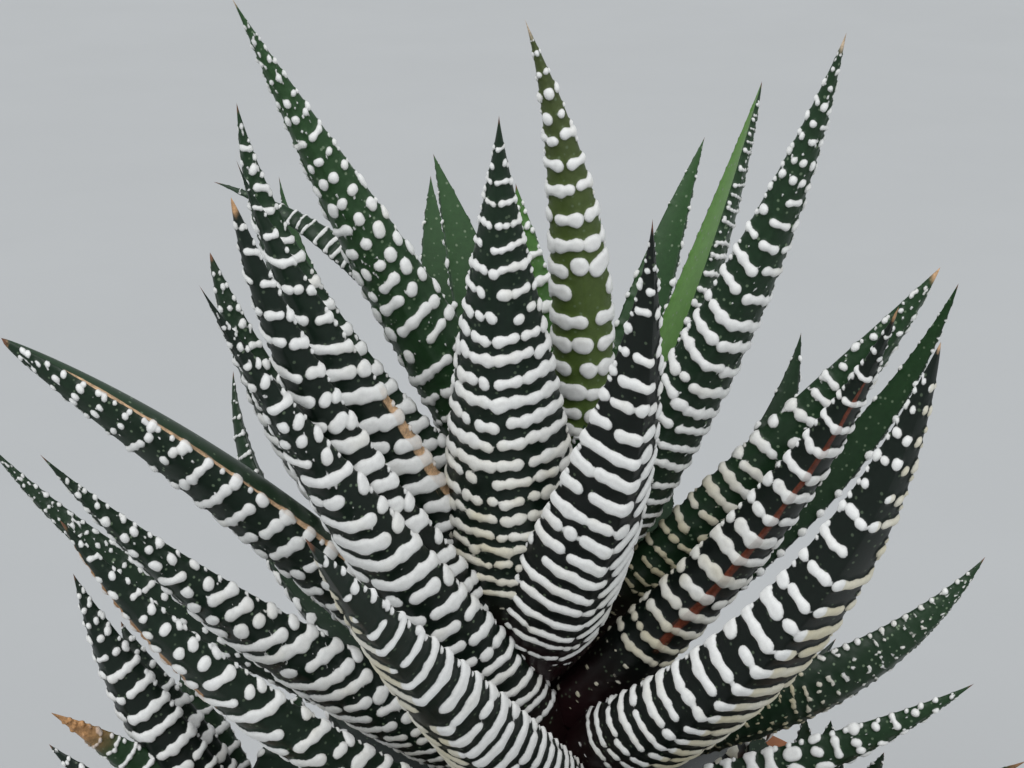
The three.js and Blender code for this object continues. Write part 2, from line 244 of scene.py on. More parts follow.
# %% [markdown]
# ## How each leaf looks
#
# On the real plant no two leaves carry the same pattern. Young leaves are fresh green and old
# ones almost black. Some bands run unbroken from margin to margin, others break at the keel,
# and most turn to dots towards the tip. DEFAULT_LOOK holds the common values and LOOKS only
# what differs on the leaves that are seen best, which also get the finest mesh.
#
# Shares along a leaf run from 0 at its foot to 1 at its tip, and shares across from -1 at
# one margin over 0 at the keel to 1 at the other.

# %% Looks of the leaves
DEFAULT_LOOK = {
    "detail": "back",      # how fine the mesh is: hero, front or back, from fine to coarse
    "green": 0.16,         # 0 is nearly black, 1 fresh green
    "green_tip": 0.14,     # how much greener the tip is
    "inner": 0.12,         # how much greener the inner face is
    "olive": 0.0,          # how far the skin turns olive
    "blush": 0.8,          # maroon at the foot
    "cream": 0.1,          # how yellow the bands are
    "cream_side": 0,       # the side of the keel, -1 or 1, whose bands are creamier
    "pitch": 1.0,          # spacing of the rows
    "fat": 1.0,            # thickness of the bands
    "neck": 0.7,           # thickness of a band between two beads
    "bands_from": 0.12,    # below this only small specks
    "dots_from": 0.6,      # above this dots
    "keel_cut": 0.5,       # how often a band breaks at the keel
    "broken": 0.8,         # how often a band breaks elsewhere
    "missing": 0.1,        # how many of the lone dots are missing
    "keel": 0.0,           # where the keel runs, as a share across
    "keel_turn": 0.0,      # how far it wanders from the foot to the tip
    "keeled": 0.4,         # how sharp it is
    "sag": 0.12,           # how steeply the rows rise from the keel
    "sag_right": 0.0,      # and how much more so on the right half
    "lean": 0.0,           # how much the rows slant towards the tip on the right
    "hollow": 0.1,         # how hollow the inner face is
    "fine": 0.0,           # how many tiny raised specks and pale flecks lie between the dots
    "margin": 1.0,         # size of the teeth along the margins
    "dry": 0.7,            # length of the dry tip, millimetres
    "dry_tone": 0.75,      # 0 pale straw, 1 brown
    "scar": None,          # a dry streak: from, to, across, half width, tone
}

LOOKS = {
    "leaf_heart_1": dict(
        detail="hero", green=0.42, dots_from=0.42, sag=0.02, broken=1.6, dry=0.8, dry_tone=0.1,
        fine=1.0, lean=0.28, fat=0.76),
    "leaf_heart_2": dict(
        detail="hero", green=0.85, green_tip=-0.3, olive=0.66, dots_from=0.8, fat=1.15, keel=0.1,
        keel_cut=0.95, broken=1.0, sag=0.04, dry=2.0, dry_tone=0.0, pitch=0.9, bands_from=0.05),
    "leaf_heart_3": dict(detail="front", green=0.66, fat=0.95, dots_from=0.8),
    "leaf_heart_4": dict(detail="front", green=0.4, fat=0.6, margin=0.6, fine=1.0),
    "leaf_heart_5": dict(
        detail="hero", green=0.42, green_tip=0.0, fat=0.45, blush=0.2, lean=0.1, margin=0.8,
        inner=0.55, dots_from=1.2, broken=0.1, pitch=0.66, fine=1.2),
    "leaf_heart_6": dict(detail="front", green=0.36, fat=0.6, margin=0.6, fine=1.0),
    "leaf_heart_7": dict(detail="front", green=0.36, fat=0.6, margin=0.6, fine=1.0),
    "leaf_heart_8": dict(detail="front", green=0.32, fat=0.6, margin=0.6, fine=1.0),
    "leaf_heart_9": dict(green=0.28, fat=0.6, margin=0.6),
    "leaf_heart_10": dict(
        detail="front", green=0.2, green_tip=0.15, fat=0.42, dots_from=1.2, broken=0.1,
        keel_cut=0.0, margin=0.6, sag=0.0, pitch=0.6, neck=0.9),
    "leaf_heart_12": dict(green=0.3, fat=0.7),
    "leaf_heart_13": dict(green=0.3, fat=0.7),
    "leaf_upper_1": dict(
        detail="hero", green=0.14, dots_from=0.93, broken=2.4, cream=0.42, keel=-0.1, keeled=0.5,
        pitch=0.74, fat=0.92, sag=0.04, keel_cut=0.95, bands_from=0.17, dry=0.5, dry_tone=0.8,
        neck=0.68),
    "leaf_upper_2": dict(
        detail="hero", green=0.26, dots_from=0.7, fat=0.8, broken=0.9, dry=1.8, dry_tone=0.05,
        lean=-0.22, pitch=0.9, keel=-0.25, sag=0.16, fine=0.7),
    "leaf_upper_3": dict(
        detail="front", green=0.26, dots_from=0.8, lean=-0.4, pitch=0.9, fine=0.6, neck=0.8),
    "leaf_upper_4": dict(
        detail="hero", green=0.12, dots_from=0.95, fat=1.05, lean=-0.48, sag=0.0, broken=1.3,
        scar=(0.2, 0.55, 0.9, 0.24, 0.22), keel_cut=0.4, neck=0.8),
    "leaf_upper_5": dict(
        detail="front", green=0.3, cream=0.75, broken=2.6, dry=1.6, dry_tone=0.25, dots_from=0.62,
        fat=0.8, pitch=0.9, fine=1.0, margin=0.7, sag=0.02, missing=0.25),
    "leaf_upper_6": dict(detail="front", green=0.1, margin=0.6),
    "leaf_middle_1": dict(
        detail="hero", green=0.02, green_tip=0.06, dots_from=0.74, broken=1.3, keel=0.28,
        keel_turn=0.3, keeled=0.9, sag=0.02, sag_right=0.8, lean=0.03, pitch=0.94, keel_cut=0.85,
        bands_from=0.1, dry=1.2, dry_tone=0.85, neck=0.86),
    "leaf_middle_2": dict(
        detail="hero", green=0.06, dots_from=0.95, fat=1.15, dry=1.5, dry_tone=0.3, lean=-0.5,
        sag=0.0, broken=1.7, neck=0.82),
    "leaf_middle_3": dict(detail="front", green=0.18, lean=-0.3, fat=0.95, pitch=0.9, fine=0.5),
    "leaf_middle_4": dict(
        detail="front", green=0.2, fat=0.6, dots_from=0.9, broken=0.2, margin=0.6),
    "leaf_middle_5": dict(
        detail="hero", green=0.14, dots_from=0.8, hollow=-0.55, lean=-0.2,
        scar=(0.2, 0.92, 1.02, 0.06, 0.2), fine=0.6, fat=0.9, broken=2.2),
    "leaf_middle_6": dict(detail="front", green=0.2, fat=0.7, margin=0.6, dry=0.9, fine=0.6),
    "leaf_middle_7": dict(
        detail="hero", green=0.04, green_tip=0.1, dots_from=0.9, cream=0.5, broken=2.4, dry=1.8,
        dry_tone=0.3, keeled=0.7, keel=0.05, scar=(0.2, 0.85, 0.1, 0.18, 0.95), bands_from=0.2,
        pitch=1.05, keel_cut=0.0, sag=0.0),
    "leaf_middle_8": dict(
        detail="hero", green=0.04, green_tip=0.08, dots_from=0.8, fat=1.1, keel=-0.12,
        keel_turn=0.2, keeled=0.95, broken=1.2, sag=0.05, lean=0.05, keel_cut=0.95, cream_side=1,
        pitch=1.08, dry=0.6, dry_tone=0.2, neck=0.76),
    "leaf_lower_1": dict(
        detail="hero", green=0.1, green_tip=0.1, dots_from=0.68, fat=1.12, broken=1.3, lean=-0.35,
        fine=0.6, neck=0.78),
    "leaf_lower_2": dict(
        detail="hero", green=0.08, green_tip=0.12, dots_from=0.82, fat=1.12, pitch=1.12, keel=-0.1,
        keeled=0.6, cream=0.12, cream_side=-1, broken=0.7, dry=1.6, dry_tone=0.8, sag=0.36,
        bands_from=0.04, neck=0.82),
    "leaf_lower_3": dict(
        detail="front", green=0.2, dots_from=0.3, lean=-0.4, pitch=0.9, fat=0.5, broken=2.0,
        fine=1.0, missing=0.3),
    "leaf_lower_4": dict(
        detail="hero", green=0.14, cream=0.2, lean=-0.5, sag=0.0, pitch=0.95, broken=1.3, fine=0.8),
    "leaf_lower_5": dict(
        detail="front", green=0.26, fat=0.32, cream=1.6, broken=2.0, dots_from=0.0, pitch=0.85,
        margin=1.2, bands_from=0.2, fine=1.2, blush=0.95, missing=0.45),
    "leaf_lower_6": dict(detail="hero", green=0.28, dots_from=0.5, broken=1.3, fat=0.85, fine=0.6),
    "leaf_lower_10": dict(green=0.02, cream=0.8),
    "leaf_base_1": dict(
        detail="hero", green=0.22, green_tip=0.0, dots_from=0.7, fat=1.05, cream=0.3, pitch=1.08,
        lean=-0.5, broken=1.0, sag=0.0, scar=(0.62, 1.05, -0.75, 0.3, 0.45)),
    "leaf_base_2": dict(detail="front", green=0.12, dry=3.0, dry_tone=0.6),
    "leaf_base_3": dict(green=0.02),
    "leaf_base_5": dict(green=0.0, cream=0.9),
}
print(len(LOOKS), "leaves with a look of their own")

# %% [markdown]
# ## The shape of a leaf
#
# A leaf follows a curve with three control points. Around that line stands a section: flat
# and slightly hollow on the inner face, arched on the outer face, with a keel that gets
# sharper towards the tip. The section's corner positions are given by an angle, 0 at one
# margin, 90 degrees on the outer face, 180 at the other margin, and more on the inner face.

# %% Midline and section of a leaf
THICKNESS = 0.42
THICKNESS_FALL = 0.8
SHOULDER_ROUNDING = 0.85
FOOT_SHARE = 0.8
FOOT_LENGTH = 0.15
BEND_AT = 0.58
TIP_RING = 0.992
KEEL_LIMIT = 0.8
KEELED_BETWEEN = (0.05, 0.45)
ROOF_BULGE = 1.12
ROOF_ROUNDING = 0.75
TINY = 1e-6
TINY_SQUARE = 1e-9


def smooth_step(low, high, value):
    share = np.clip((value - low) / (high - low), 0, 1)
    return share * share * (3 - 2 * share)


def unit(rows):
    return rows / np.linalg.norm(rows, axis=-1, keepdims=True)


def leaf_plan(row):
    name, foot, tip, bow, sway, width, facing = row[:7]
    full, taper = row[7:] or (FULL_WIDTH_AT, TAPER)
    foot = np.array(foot, float)
    tip = np.array(tip, float)
    chord = tip - foot
    along = unit(chord)
    outward = np.array([math.cos(math.radians(facing)), math.sin(math.radians(facing)), 0])
    outward = unit(outward - along * (outward @ along))
    side = np.cross(along, outward)
    bend = foot + chord * BEND_AT + outward * bow + side * sway
    return {"name": name, "foot": foot, "bend": bend, "tip": tip, "outward": outward,
            "width": width, "full": full, "taper": taper}


def midline(plan, t):
    """Centre, outward and side direction for each share along the leaf."""
    t = t[:, None]
    foot, bend, tip = plan["foot"], plan["bend"], plan["tip"]
    centre = foot * (1 - t) ** 2 + bend * 2 * t * (1 - t) + tip * t ** 2
    tangent = unit((bend - foot) * (1 - t) + (tip - bend) * t)
    out = unit(plan["outward"] - tangent * (tangent @ plan["outward"])[:, None])
    return centre, out, np.cross(tangent, out)


def half_width(plan, t):
    from_tip = np.minimum(1, (1 - t) / plan["full"])
    spread = np.sin(from_tip * math.pi / 2) ** plan["taper"]
    foot = FOOT_SHARE + (1 - FOOT_SHARE) * np.minimum(1, t / FOOT_LENGTH)
    return plan["width"] / 2 * spread * foot


def keel_at(look, t):
    """Where the keel runs, as a share across, at a share along the leaf."""
    return np.clip(look["keel"] + look["keel_turn"] * t, -KEEL_LIMIT, KEEL_LIMIT)


def section(plan, look, t, angle):
    """Across and outward position of every corner of every ring, in millimetres."""
    half = half_width(plan, t)[:, None]
    depth = THICKNESS * plan["width"] * (2 * half / plan["width"]) ** THICKNESS_FALL
    across = np.cos(angle)[None, :] * np.ones_like(half)
    keel = keel_at(look, t)[:, None]
    from_keel = np.where(across > keel, (across - keel) / (1 - keel), (keel - across) / (1 + keel))
    from_keel = np.clip(from_keel, 0, 1)
    arched = np.abs(np.sin(angle))[None, :] ** SHOULDER_ROUNDING
    roofed = (1 - from_keel ** ROOF_BULGE) ** ROOF_ROUNDING
    sharp = look["keeled"] * smooth_step(*KEELED_BETWEEN, t)[:, None]
    outer = depth * (arched * (1 - sharp) + roofed * sharp)
    inner = look["hollow"] * half * np.sin(angle)[None, :] ** 2
    outwards = np.where(np.sin(angle)[None, :] > TINY, outer, inner)
    return half * across, outwards


sample = {"full": FULL_WIDTH_AT, "taper": TAPER, "width": 10}
print("at 0.7 of its length a leaf has", round(20 * float(half_width(sample, 0.7))), "% of its width")

# %% [markdown]
# ## The leaf blank
#
# All leaves start from the same blank: a closed tube of quads with a fan at each end. It is
# made by hand once for each fineness: a cylinder, whose long edges are subdivided in two turns.
# A copy of it then gets its corners set on the leaf's section, ring by ring. Bending a
# modelled leaf with modifiers would be closer to hand work, but fifty leaves that each follow
# a plan of their own to a tenth of a millimetre are safer by formula. The three degrees of
# fineness are chosen so that the whole scene stays under a million triangles.
#
# The leaf's own frame is left-handed, so the blank's faces are turned over beforehand.

# %% Model the blanks
BLANKS = {"hero": (64, (14, 15)), "front": (40, (12, 13)), "back": (28, (8, 9))}


def leaf_blank(name, sides, cut_turns):
    blank = unit_tube(sides)
    for cuts in cut_turns:
        pick_long_edges(blank)
        bpy.ops.mesh.subdivide(number_cuts=cuts)
    bpy.ops.mesh.select_all(action="SELECT")
    bpy.ops.mesh.flip_normals()
    bpy.ops.object.mode_set(mode="OBJECT")
    bpy.ops.object.shade_smooth()
    blank.name = name
    return blank


def blank_layout(mesh, sides):
    """Vertex numbers as a grid of rings by corners, and the two fan centres."""
    places = np.empty(len(mesh.vertices) * 3)
    mesh.vertices.foreach_get("co", places)
    x, y, z = places.reshape(-1, 3).T
    on_axis = np.hypot(x, y) < 0.5
    centres = np.flatnonzero(on_axis)
    walls = np.flatnonzero(~on_axis)
    rings = len(walls) // sides - 1
    corner = np.rint(np.arctan2(y[walls], x[walls]) / (2 * math.pi) * sides).astype(int) % sides
    ring = np.rint(z[walls] * rings).astype(int)
    grid = np.empty((rings + 1, sides), int)
    grid[ring, corner] = walls
    foot, tip = centres[np.argsort(z[centres])]
    return grid, foot, tip


blanks = {}
for detail, (sides, cut_turns) in BLANKS.items():
    blank = leaf_blank("blank_" + detail, sides, cut_turns)
    blanks[detail] = (blank, *blank_layout(blank.data, sides))
    print(detail, "blank has", len(blank.data.polygons), "faces")

# %% [markdown]
# ## The raised bands and dots
#
# The white tubercles are the plant's signature. Each one is thought of as a string of beads
# lying on the outer face: two ends, each with a place across and along the leaf in
# millimetres, and a radius. A whole band is a wavy chain of beads, a dot is one short bead.
# How deep a point of the skin lies inside the nearest bead then gives both the height of the
# dome and the edge of the white colour, so colour and shape can't drift apart.

# %% Lay out one row
BEAD_JITTER = (0.82, 1.16)
BEAD_STEP = 1.95              # beads of a band stand so many radii apart
DOT_STEP = 2.6                # and dots so many
ACROSS_JITTER = 0.08
ROW_WAVE = 0.16
ROW_WAVE_TURNS = (0.9, 1.7)
BREAK_SHARE = 0.2
DOTS_JOINED = 0.1


def lay_row(rng, height, reach, radius, keel, dotty, number, look):
    """Places across and up of a row's beads and their sizes, before any break."""
    step = radius * (BEAD_STEP + (DOT_STEP - BEAD_STEP) * dotty)
    count = max(1, round(2 * reach / step))
    staggered = dotty > 0.5 and number % 2
    places = (np.arange(count) + 0.5) / count if staggered else np.arange(count + 1) / count
    across = (2 * places - 1) * reach
    across[1:-1] += rng.normal(0, ACROSS_JITTER * step, len(across[1:-1]))
    rise = np.where(across > keel, look["sag"] + look["sag_right"], look["sag"])
    up = height + look["lean"] * across + rise * np.abs(across - keel)
    up += ROW_WAVE * np.sin(across * rng.uniform(*ROW_WAVE_TURNS) + rng.uniform(0, 6))
    return across, up, radius * rng.uniform(*BEAD_JITTER, len(across))


def join_row(rng, across, keel, dotty, look):
    """Whether each bead runs together with the next one on its right."""
    hold = 1 - BREAK_SHARE * look["broken"]
    hold = hold + (DOTS_JOINED - hold) * dotty
    joined = rng.random(len(across)) < hold
    crossing = np.flatnonzero((across[:-1] <= keel) & (across[1:] > keel))
    if len(crossing) and rng.random() < look["keel_cut"]:
        joined[crossing[0]] = False
    joined[-1] = False
    return joined


row = lay_row(np.random.default_rng(1), 30, 6, 1, 0, 0, 0, DEFAULT_LOOK)
print("a row across 12 mm gets", len(row[0]), "beads")

# %% Join it to bands and dots
PARTED = 0.94                 # size of a bead beside a break
STEP_UP = 0.2                 # how far a new stretch of a row jumps up or down
DOT_STRETCH = (0, 0.45)
DOT_TURN = (-0.6, 0.6)
DOT_STANDS = 1.2              # turns lone dots along the leaf


def bead_row(rng, t, height, reach, radius, dotty, number, look):
    """One row of tubercles from margin to margin. Neighbours run together in the bands."""
    keel = float(keel_at(look, t)) * reach
    across, up, size = lay_row(rng, height, reach, radius, keel, dotty, number, look)
    joined = join_row(rng, across, keel, dotty, look)
    step_up = rng.normal(0, STEP_UP, len(across))
    beads = []
    shift = step_up[0]
    for place in range(len(across)):
        after_break = place > 0 and not joined[place - 1]
        if after_break:
            shift = step_up[place]
        up[place] += shift
        if after_break or not joined[place]:
            size[place] *= 1 + (PARTED - 1) * (1 - dotty)
        if not joined[place] and (place == 0 or after_break):
            if rng.random() < look["missing"] and 0 < place < len(across) - 1:
                continue
            turn = rng.uniform(*DOT_TURN) + DOT_STANDS * dotty
            slip = rng.uniform(*DOT_STRETCH) * size[place] * math.cos(turn)
            tilt = rng.uniform(*DOT_STRETCH) * size[place] * math.sin(turn)
            beads.append((across[place] - slip, up[place] - tilt, size[place],
                          across[place] + slip, up[place] + tilt, size[place]))
    for place in np.flatnonzero(joined):
        middle = (across[place] + across[place + 1]) / 2
        middle_up = (up[place] + up[place + 1]) / 2
        neck = look["neck"] * (size[place] + size[place + 1]) / 2
        beads.append((across[place], up[place], size[place], middle, middle_up, neck))
        beads.append((middle, middle_up, neck, across[place + 1], up[place + 1], size[place + 1]))
    return beads


row = bead_row(np.random.default_rng(1), 0.4, 30, 6, 1, 0, 0, DEFAULT_LOOK)
print("joined with necks, they make", len(row), "short strokes")

# %% Scatter specks near the foot
SPECK = 0.26
SPECK_JITTER = (0.7, 1.3)
SPECK_COUNT = (3, 6)
SPECK_ACROSS = (-0.85, 0.85)
SPECK_UP = 0.5
SPECK_STRETCH = (-0.6, 0.6)


def speck_row(rng, height, reach):
    """Small specks near the foot, where the bands have not begun."""
    beads = []
    for _ in range(rng.integers(*SPECK_COUNT)):
        across = rng.uniform(*SPECK_ACROSS) * reach
        up = height + rng.normal(0, SPECK_UP)
        size = SPECK * rng.uniform(*SPECK_JITTER)
        beads.append((across, up, size, across + rng.uniform(*SPECK_STRETCH), up, size))
    return beads


print("a row near the foot has", SPECK_COUNT[0], "to", SPECK_COUNT[1] - 1, "specks")

# %% Lay out the whole leaf
ROW_PITCH_FOOT = 2.7
ROW_PITCH_UPPER = 3.9
PITCH_GROWS = (0.1, 0.5)      # between these shares along the leaf
PITCH_JITTER = (0.93, 1.07)
FIRST_ROW = 1.0
ROWS_END_AT = 0.98
FULL_PITCH_RADIUS = 0.6       # rows of smaller beads stand closer
DOTS_CLOSER = 0.22
DOTS_FADE_IN = 0.1

BEAD_FOOT = 0.62
BEAD_MIDDLE = 1.15
BEAD_DOT = 0.66
BEAD_TIP = 0.34
BEAD_SHARES = (0, 0.15, 0.42, 0.58, 0.8, 1)
BEAD_SIZES = (BEAD_FOOT * 0.8, BEAD_FOOT, BEAD_MIDDLE, BEAD_MIDDLE, BEAD_DOT, BEAD_TIP)
BEAD_LIMIT = 0.5              # of the half width of the skin

FINE_SPECK = 0.15
FINE_PER_MM = 1.6
FINE_BETWEEN = (0.3, 0.97)
FINE_ACROSS = (-0.9, 0.9)
FINE_STRETCH = 0.2

MARGIN_PITCH = 2.3
MARGIN_PITCH_JITTER = (0.8, 1.15)
MARGIN_BEAD = 0.4
MARGIN_BEAD_JITTER = (0.8, 1.2)
MARGIN_BEAD_LIMIT = 0.35
MARGIN_OVER = 1.02            # teeth stand a little past the edge
MARGIN_STARTS = (2, 4)
MARGIN_ENDS_AT = 0.975


def leaf_beads(rng, length, reach_at, look):
    """All tubercles of one leaf. reach_at gives the width from keel to margin on the skin."""
    beads = []
    height = FIRST_ROW
    number = 0
    while height < length * ROWS_END_AT:
        t = height / length
        reach = reach_at(t)
        radius = float(np.interp(t, BEAD_SHARES, BEAD_SIZES))
        radius = min(radius * look["fat"], reach * BEAD_LIMIT)
        dots_from = look["dots_from"]
        dotty = float(smooth_step(dots_from - DOTS_FADE_IN, dots_from + DOTS_FADE_IN, t))
        if t < look["bands_from"]:
            beads += speck_row(rng, height, reach)
        else:
            beads += bead_row(rng, t, height, reach, radius, dotty, number, look)
        pitch = (ROW_PITCH_UPPER - ROW_PITCH_FOOT) * float(smooth_step(*PITCH_GROWS, t))
        pitch = ROW_PITCH_FOOT + pitch
        closer = min(1, 0.5 + 0.5 * radius / FULL_PITCH_RADIUS) * (1 - DOTS_CLOSER * dotty)
        height += pitch * look["pitch"] * closer * rng.uniform(*PITCH_JITTER)
        number += 1
    for _ in range(int(look["fine"] * length * FINE_PER_MM)):
        t = rng.uniform(*FINE_BETWEEN)
        across = rng.uniform(*FINE_ACROSS) * reach_at(t)
        size = FINE_SPECK * rng.uniform(*SPECK_JITTER)
        beads.append((across, t * length, size, across, t * length + FINE_STRETCH, size))
    for sign in (-1, 1):
        height = rng.uniform(*MARGIN_STARTS)
        while height < length * MARGIN_ENDS_AT:
            reach = reach_at(height / length)
            size = MARGIN_BEAD * look["margin"] * rng.uniform(*MARGIN_BEAD_JITTER)
            size = min(size, reach * MARGIN_BEAD_LIMIT)
            beads.append((sign * reach, height, size, sign * reach * MARGIN_OVER, height, size))
            height += MARGIN_PITCH * rng.uniform(*MARGIN_PITCH_JITTER)
    return beads


test = leaf_beads(np.random.default_rng(1), 80, lambda t: 7 * (1 - t) + 0.5, DEFAULT_LOOK)
print("a leaf 80 mm long carries about", len(test), "beads")

# %% [markdown]
# ## Raise the skin and mark it
#
# The skin is pushed out along its own normal wherever it lies inside a bead, by a quarter of
# a sine wave, which gives a round dome with a clear edge. The depth in the bead is kept as an
# attribute, so that the material can colour exactly the same places. More attributes mark the
# green, the flecks, the maroon foot, the dry tip and the scars, and one keeps each point's
# place in the leaf, so that the grain of the skin runs along the leaf and not along the
# room's axes.

# %% Measure the skin
OUTER_SHARE = 0.82
SPECK_REACH = 0.6


def corner_angles(sides):
    """Four fifths of the corners lie on the outer face, the rest on the inner face."""
    outer = int(sides * OUTER_SHARE)
    outer_angles = np.arange(outer) * math.pi / outer
    inner_angles = math.pi + np.arange(sides - outer) * math.pi / (sides - outer)
    return np.concatenate([outer_angles, inner_angles])


def skin_across(x, y, angle):
    """Each corner's distance on the skin from the middle of the outer face, and half its girth."""
    steps = np.hypot(np.diff(x, axis=1, append=x[:, :1]), np.diff(y, axis=1, append=y[:, :1]))
    walked = np.concatenate([np.zeros((len(x), 1)), np.cumsum(steps, axis=1)], axis=1)
    outer = int(np.sum(angle < math.pi))
    total = walked[:, -1:]
    girth = walked[:, outer:outer + 1]
    measured = girth / 2 - walked[:, :-1]
    inner = measured < -(girth / 2 + (total - girth) / 2)
    return np.where(inner, measured + total, measured), girth[:, 0] / 2


def bead_depth(across, height, beads):
    """How deep every grid point lies in the nearest bead, in millimetres, below 0 outside."""
    depth = np.full(across.shape, -1.0)
    for x0, y0, r0, x1, y1, r1 in beads:
        reach = max(r0, r1) + SPECK_REACH
        first = np.searchsorted(height, min(y0, y1) - reach)
        last = np.searchsorted(height, max(y0, y1) + reach)
        if last <= first:
            continue
        dx = across[first:last] - x0
        dy = (height[first:last] - y0)[:, None]
        long_x, long_y = x1 - x0, y1 - y0
        share = (dx * long_x + dy * long_y) / (long_x ** 2 + long_y ** 2 + TINY_SQUARE)
        share = np.clip(share, 0, 1)
        gone = np.hypot(dx - share * long_x, dy - share * long_y)
        depth[first:last] = np.maximum(depth[first:last], r0 + share * (r1 - r0) - gone)
    return depth


print("of 64 corners", int(np.sum(corner_angles(64) < math.pi)), "lie on the outer face")

# %% Shape one leaf
DOME_HEIGHT = 0.45
DOME_FROM = -0.1
DOME_FULL = 0.6
DOME_FADE = 0.6
DOME_FADE_FROM = 0.85
INNER_EDGE = 1.5              # the inner face goes on to here, where the margin is at 1
LEAST_REACH = 0.1
SCAR_FADE = 0.05
SCAR_FALL = 1.4
DRY_FROM = 0.55
DRY_TO = 1.25
DRY_POINTED = 0.5             # a dry tip reaches lower in the middle of the face
DRY_SEEN = 0.3
GREEN_TIP_BETWEEN = (0.3, 1)
BLUSH_BETWEEN = (0.02, 0.2)
CREAM_FOOT = 1.3
CREAM_FALL = 2.2
CREAM_LEAST = 0.1
CREAM_SIDE = 0.4
CREAM_SIDE_FROM = 0.2
FLECK_LEAST = 0.35
FLECK_FINE = 0.5


def mark(mesh, name, values):
    attribute = mesh.attributes.new(name, "FLOAT", "POINT")
    attribute.data.foreach_set("value", np.asarray(values, np.float32))


def scar_on(look, share, wide):
    """How dry the skin is at every grid point, from 0 to 1, and the tone it dries to."""
    if not look["scar"]:
        return np.zeros(wide.shape), look["dry_tone"]
    start, end, where, half, tone = look["scar"]
    scar = np.exp(-((wide - where) / half) ** 2 * SCAR_FALL)
    scar = scar * smooth_step(start - SCAR_FADE, start + SCAR_FADE, share)
    return scar * (1 - smooth_step(end - SCAR_FADE, end + SCAR_FADE, share)), tone


def make_leaf(plan, look, seed):
    """One leaf as a new object, its corners in metres and its marks as attributes."""
    blank, grid, foot_centre, tip_centre = blanks[look["detail"]]
    rng = np.random.default_rng(seed)
    angle = corner_angles(grid.shape[1])
    t = np.linspace(0, TIP_RING, grid.shape[0])
    x, y = section(plan, look, t, angle)
    centre, out, side = midline(plan, t)
    bare = centre[:, None] + side[:, None] * x[..., None] + out[:, None] * y[..., None]
    walked = np.concatenate([[0], np.cumsum(np.linalg.norm(np.diff(centre, axis=0), axis=1))])
    across, reach = skin_across(x, y, angle)
    beads = leaf_beads(rng, walked[-1], lambda share: float(np.interp(share, t, reach)), look)
    depth = bead_depth(across, walked, beads)
    around = np.roll(bare, -1, axis=1) - np.roll(bare, 1, axis=1)
    normal = unit(np.cross(np.gradient(bare, axis=0), around))
    dome = np.sin(np.clip((depth - DOME_FROM) / (DOME_FULL - DOME_FROM), 0, 1) * math.pi / 2)
    fade = 1 - DOME_FADE * smooth_step(DOME_FADE_FROM, 1, t)[:, None]
    shaped = bare + normal * (dome * DOME_HEIGHT * fade)[..., None]

    mesh = blank.data.copy()
    places = np.empty((len(mesh.vertices), 3))
    places[grid] = shaped
    places[foot_centre] = plan["foot"]
    places[tip_centre] = plan["tip"]
    mesh.vertices.foreach_set("co", (places * MM).ravel())

    def spread(values, at_foot=0, at_tip=0):
        full = np.empty(len(mesh.vertices))
        full[grid] = np.broadcast_to(values, grid.shape)
        full[foot_centre] = at_foot
        full[tip_centre] = at_tip
        return full

    share = t[:, None]
    wide = across / np.maximum(reach, LEAST_REACH)[:, None]
    wide = np.clip(wide, -INNER_EDGE, INNER_EDGE)
    from_tip = walked[-1] - walked[:, None] + DRY_POINTED * np.abs(wide)
    green = look["green"] + look["green_tip"] * smooth_step(*GREEN_TIP_BETWEEN, share)
    green = green + look["inner"] * (np.abs(wide) > 1)
    dry = 1 - smooth_step(look["dry"] * DRY_FROM, look["dry"] * DRY_TO, from_tip)
    scar, scar_tone = scar_on(look, share, wide)
    tone = np.where(dry > DRY_SEEN, look["dry_tone"], scar_tone)
    creamy = look["cream"] * np.clip(CREAM_FOOT - CREAM_FALL * share, CREAM_LEAST, 1)
    creamy = creamy + CREAM_SIDE * (wide * look["cream_side"] > CREAM_SIDE_FROM)
    blush = look["blush"] * (1 - smooth_step(*BLUSH_BETWEEN, share))
    mark(mesh, "bead", spread(np.clip(depth, -1, 1), -1, -1))
    mark(mesh, "green", spread(green, look["green"], look["green"]))
    mark(mesh, "fleck", spread(FLECK_LEAST + FLECK_FINE * look["fine"]))
    mark(mesh, "olive", spread(look["olive"]))
    mark(mesh, "blush", spread(blush, 1))
    mark(mesh, "cream", spread(creamy))
    mark(mesh, "dry", spread(dry, 0, 1))
    mark(mesh, "scar", spread(scar))
    mark(mesh, "tone", spread(tone, 0.5, look["dry_tone"]))
    grain = mesh.attributes.new("grain", "FLOAT_VECTOR", "POINT")
    local = np.stack([spread(x), spread(y), spread(walked[:, None], 0, walked[-1])], 1)
    grain.data.foreach_set("vector", local.astype(np.float32).ravel())
    leaf = bpy.data.objects.new(plan["name"] + "_banded", mesh)
    bpy.context.scene.collection.objects.link(leaf)
    return leaf


print("domes stand", DOME_HEIGHT, "mm over the skin")

# %% [markdown]
# ## Building materials
#
# Materials are built from nodes in code. A few small helpers keep that readable. They add a
# node and feed its sockets, mix two colours, map a range of values to another, reckon with two
# or three values, read the marks on the mesh, and finish a surface with a bump.


# %% Helpers for nodes
def feed(tree, socket, value):
    """Links another node's output to a socket, or sets the socket to a plain value."""
    if isinstance(value, bpy.types.NodeSocket):
        tree.links.new(value, socket)
    else:
        socket.default_value = value


def put(tree, kind, inputs=None, **settings):
    made = tree.nodes.new(kind)
    for key, value in settings.items():
        setattr(made, key, value)
    for key, value in (inputs or {}).items():
        feed(tree, made.inputs[key], value)
    return made


def blend_colours(tree, share, first, second, how="MIX"):
    made = put(tree, "ShaderNodeMix", data_type="RGBA", blend_type=how)
    feed(tree, made.inputs[0], share)
    feed(tree, made.inputs[6], first)
    feed(tree, made.inputs[7], second)
    return made.outputs[2]


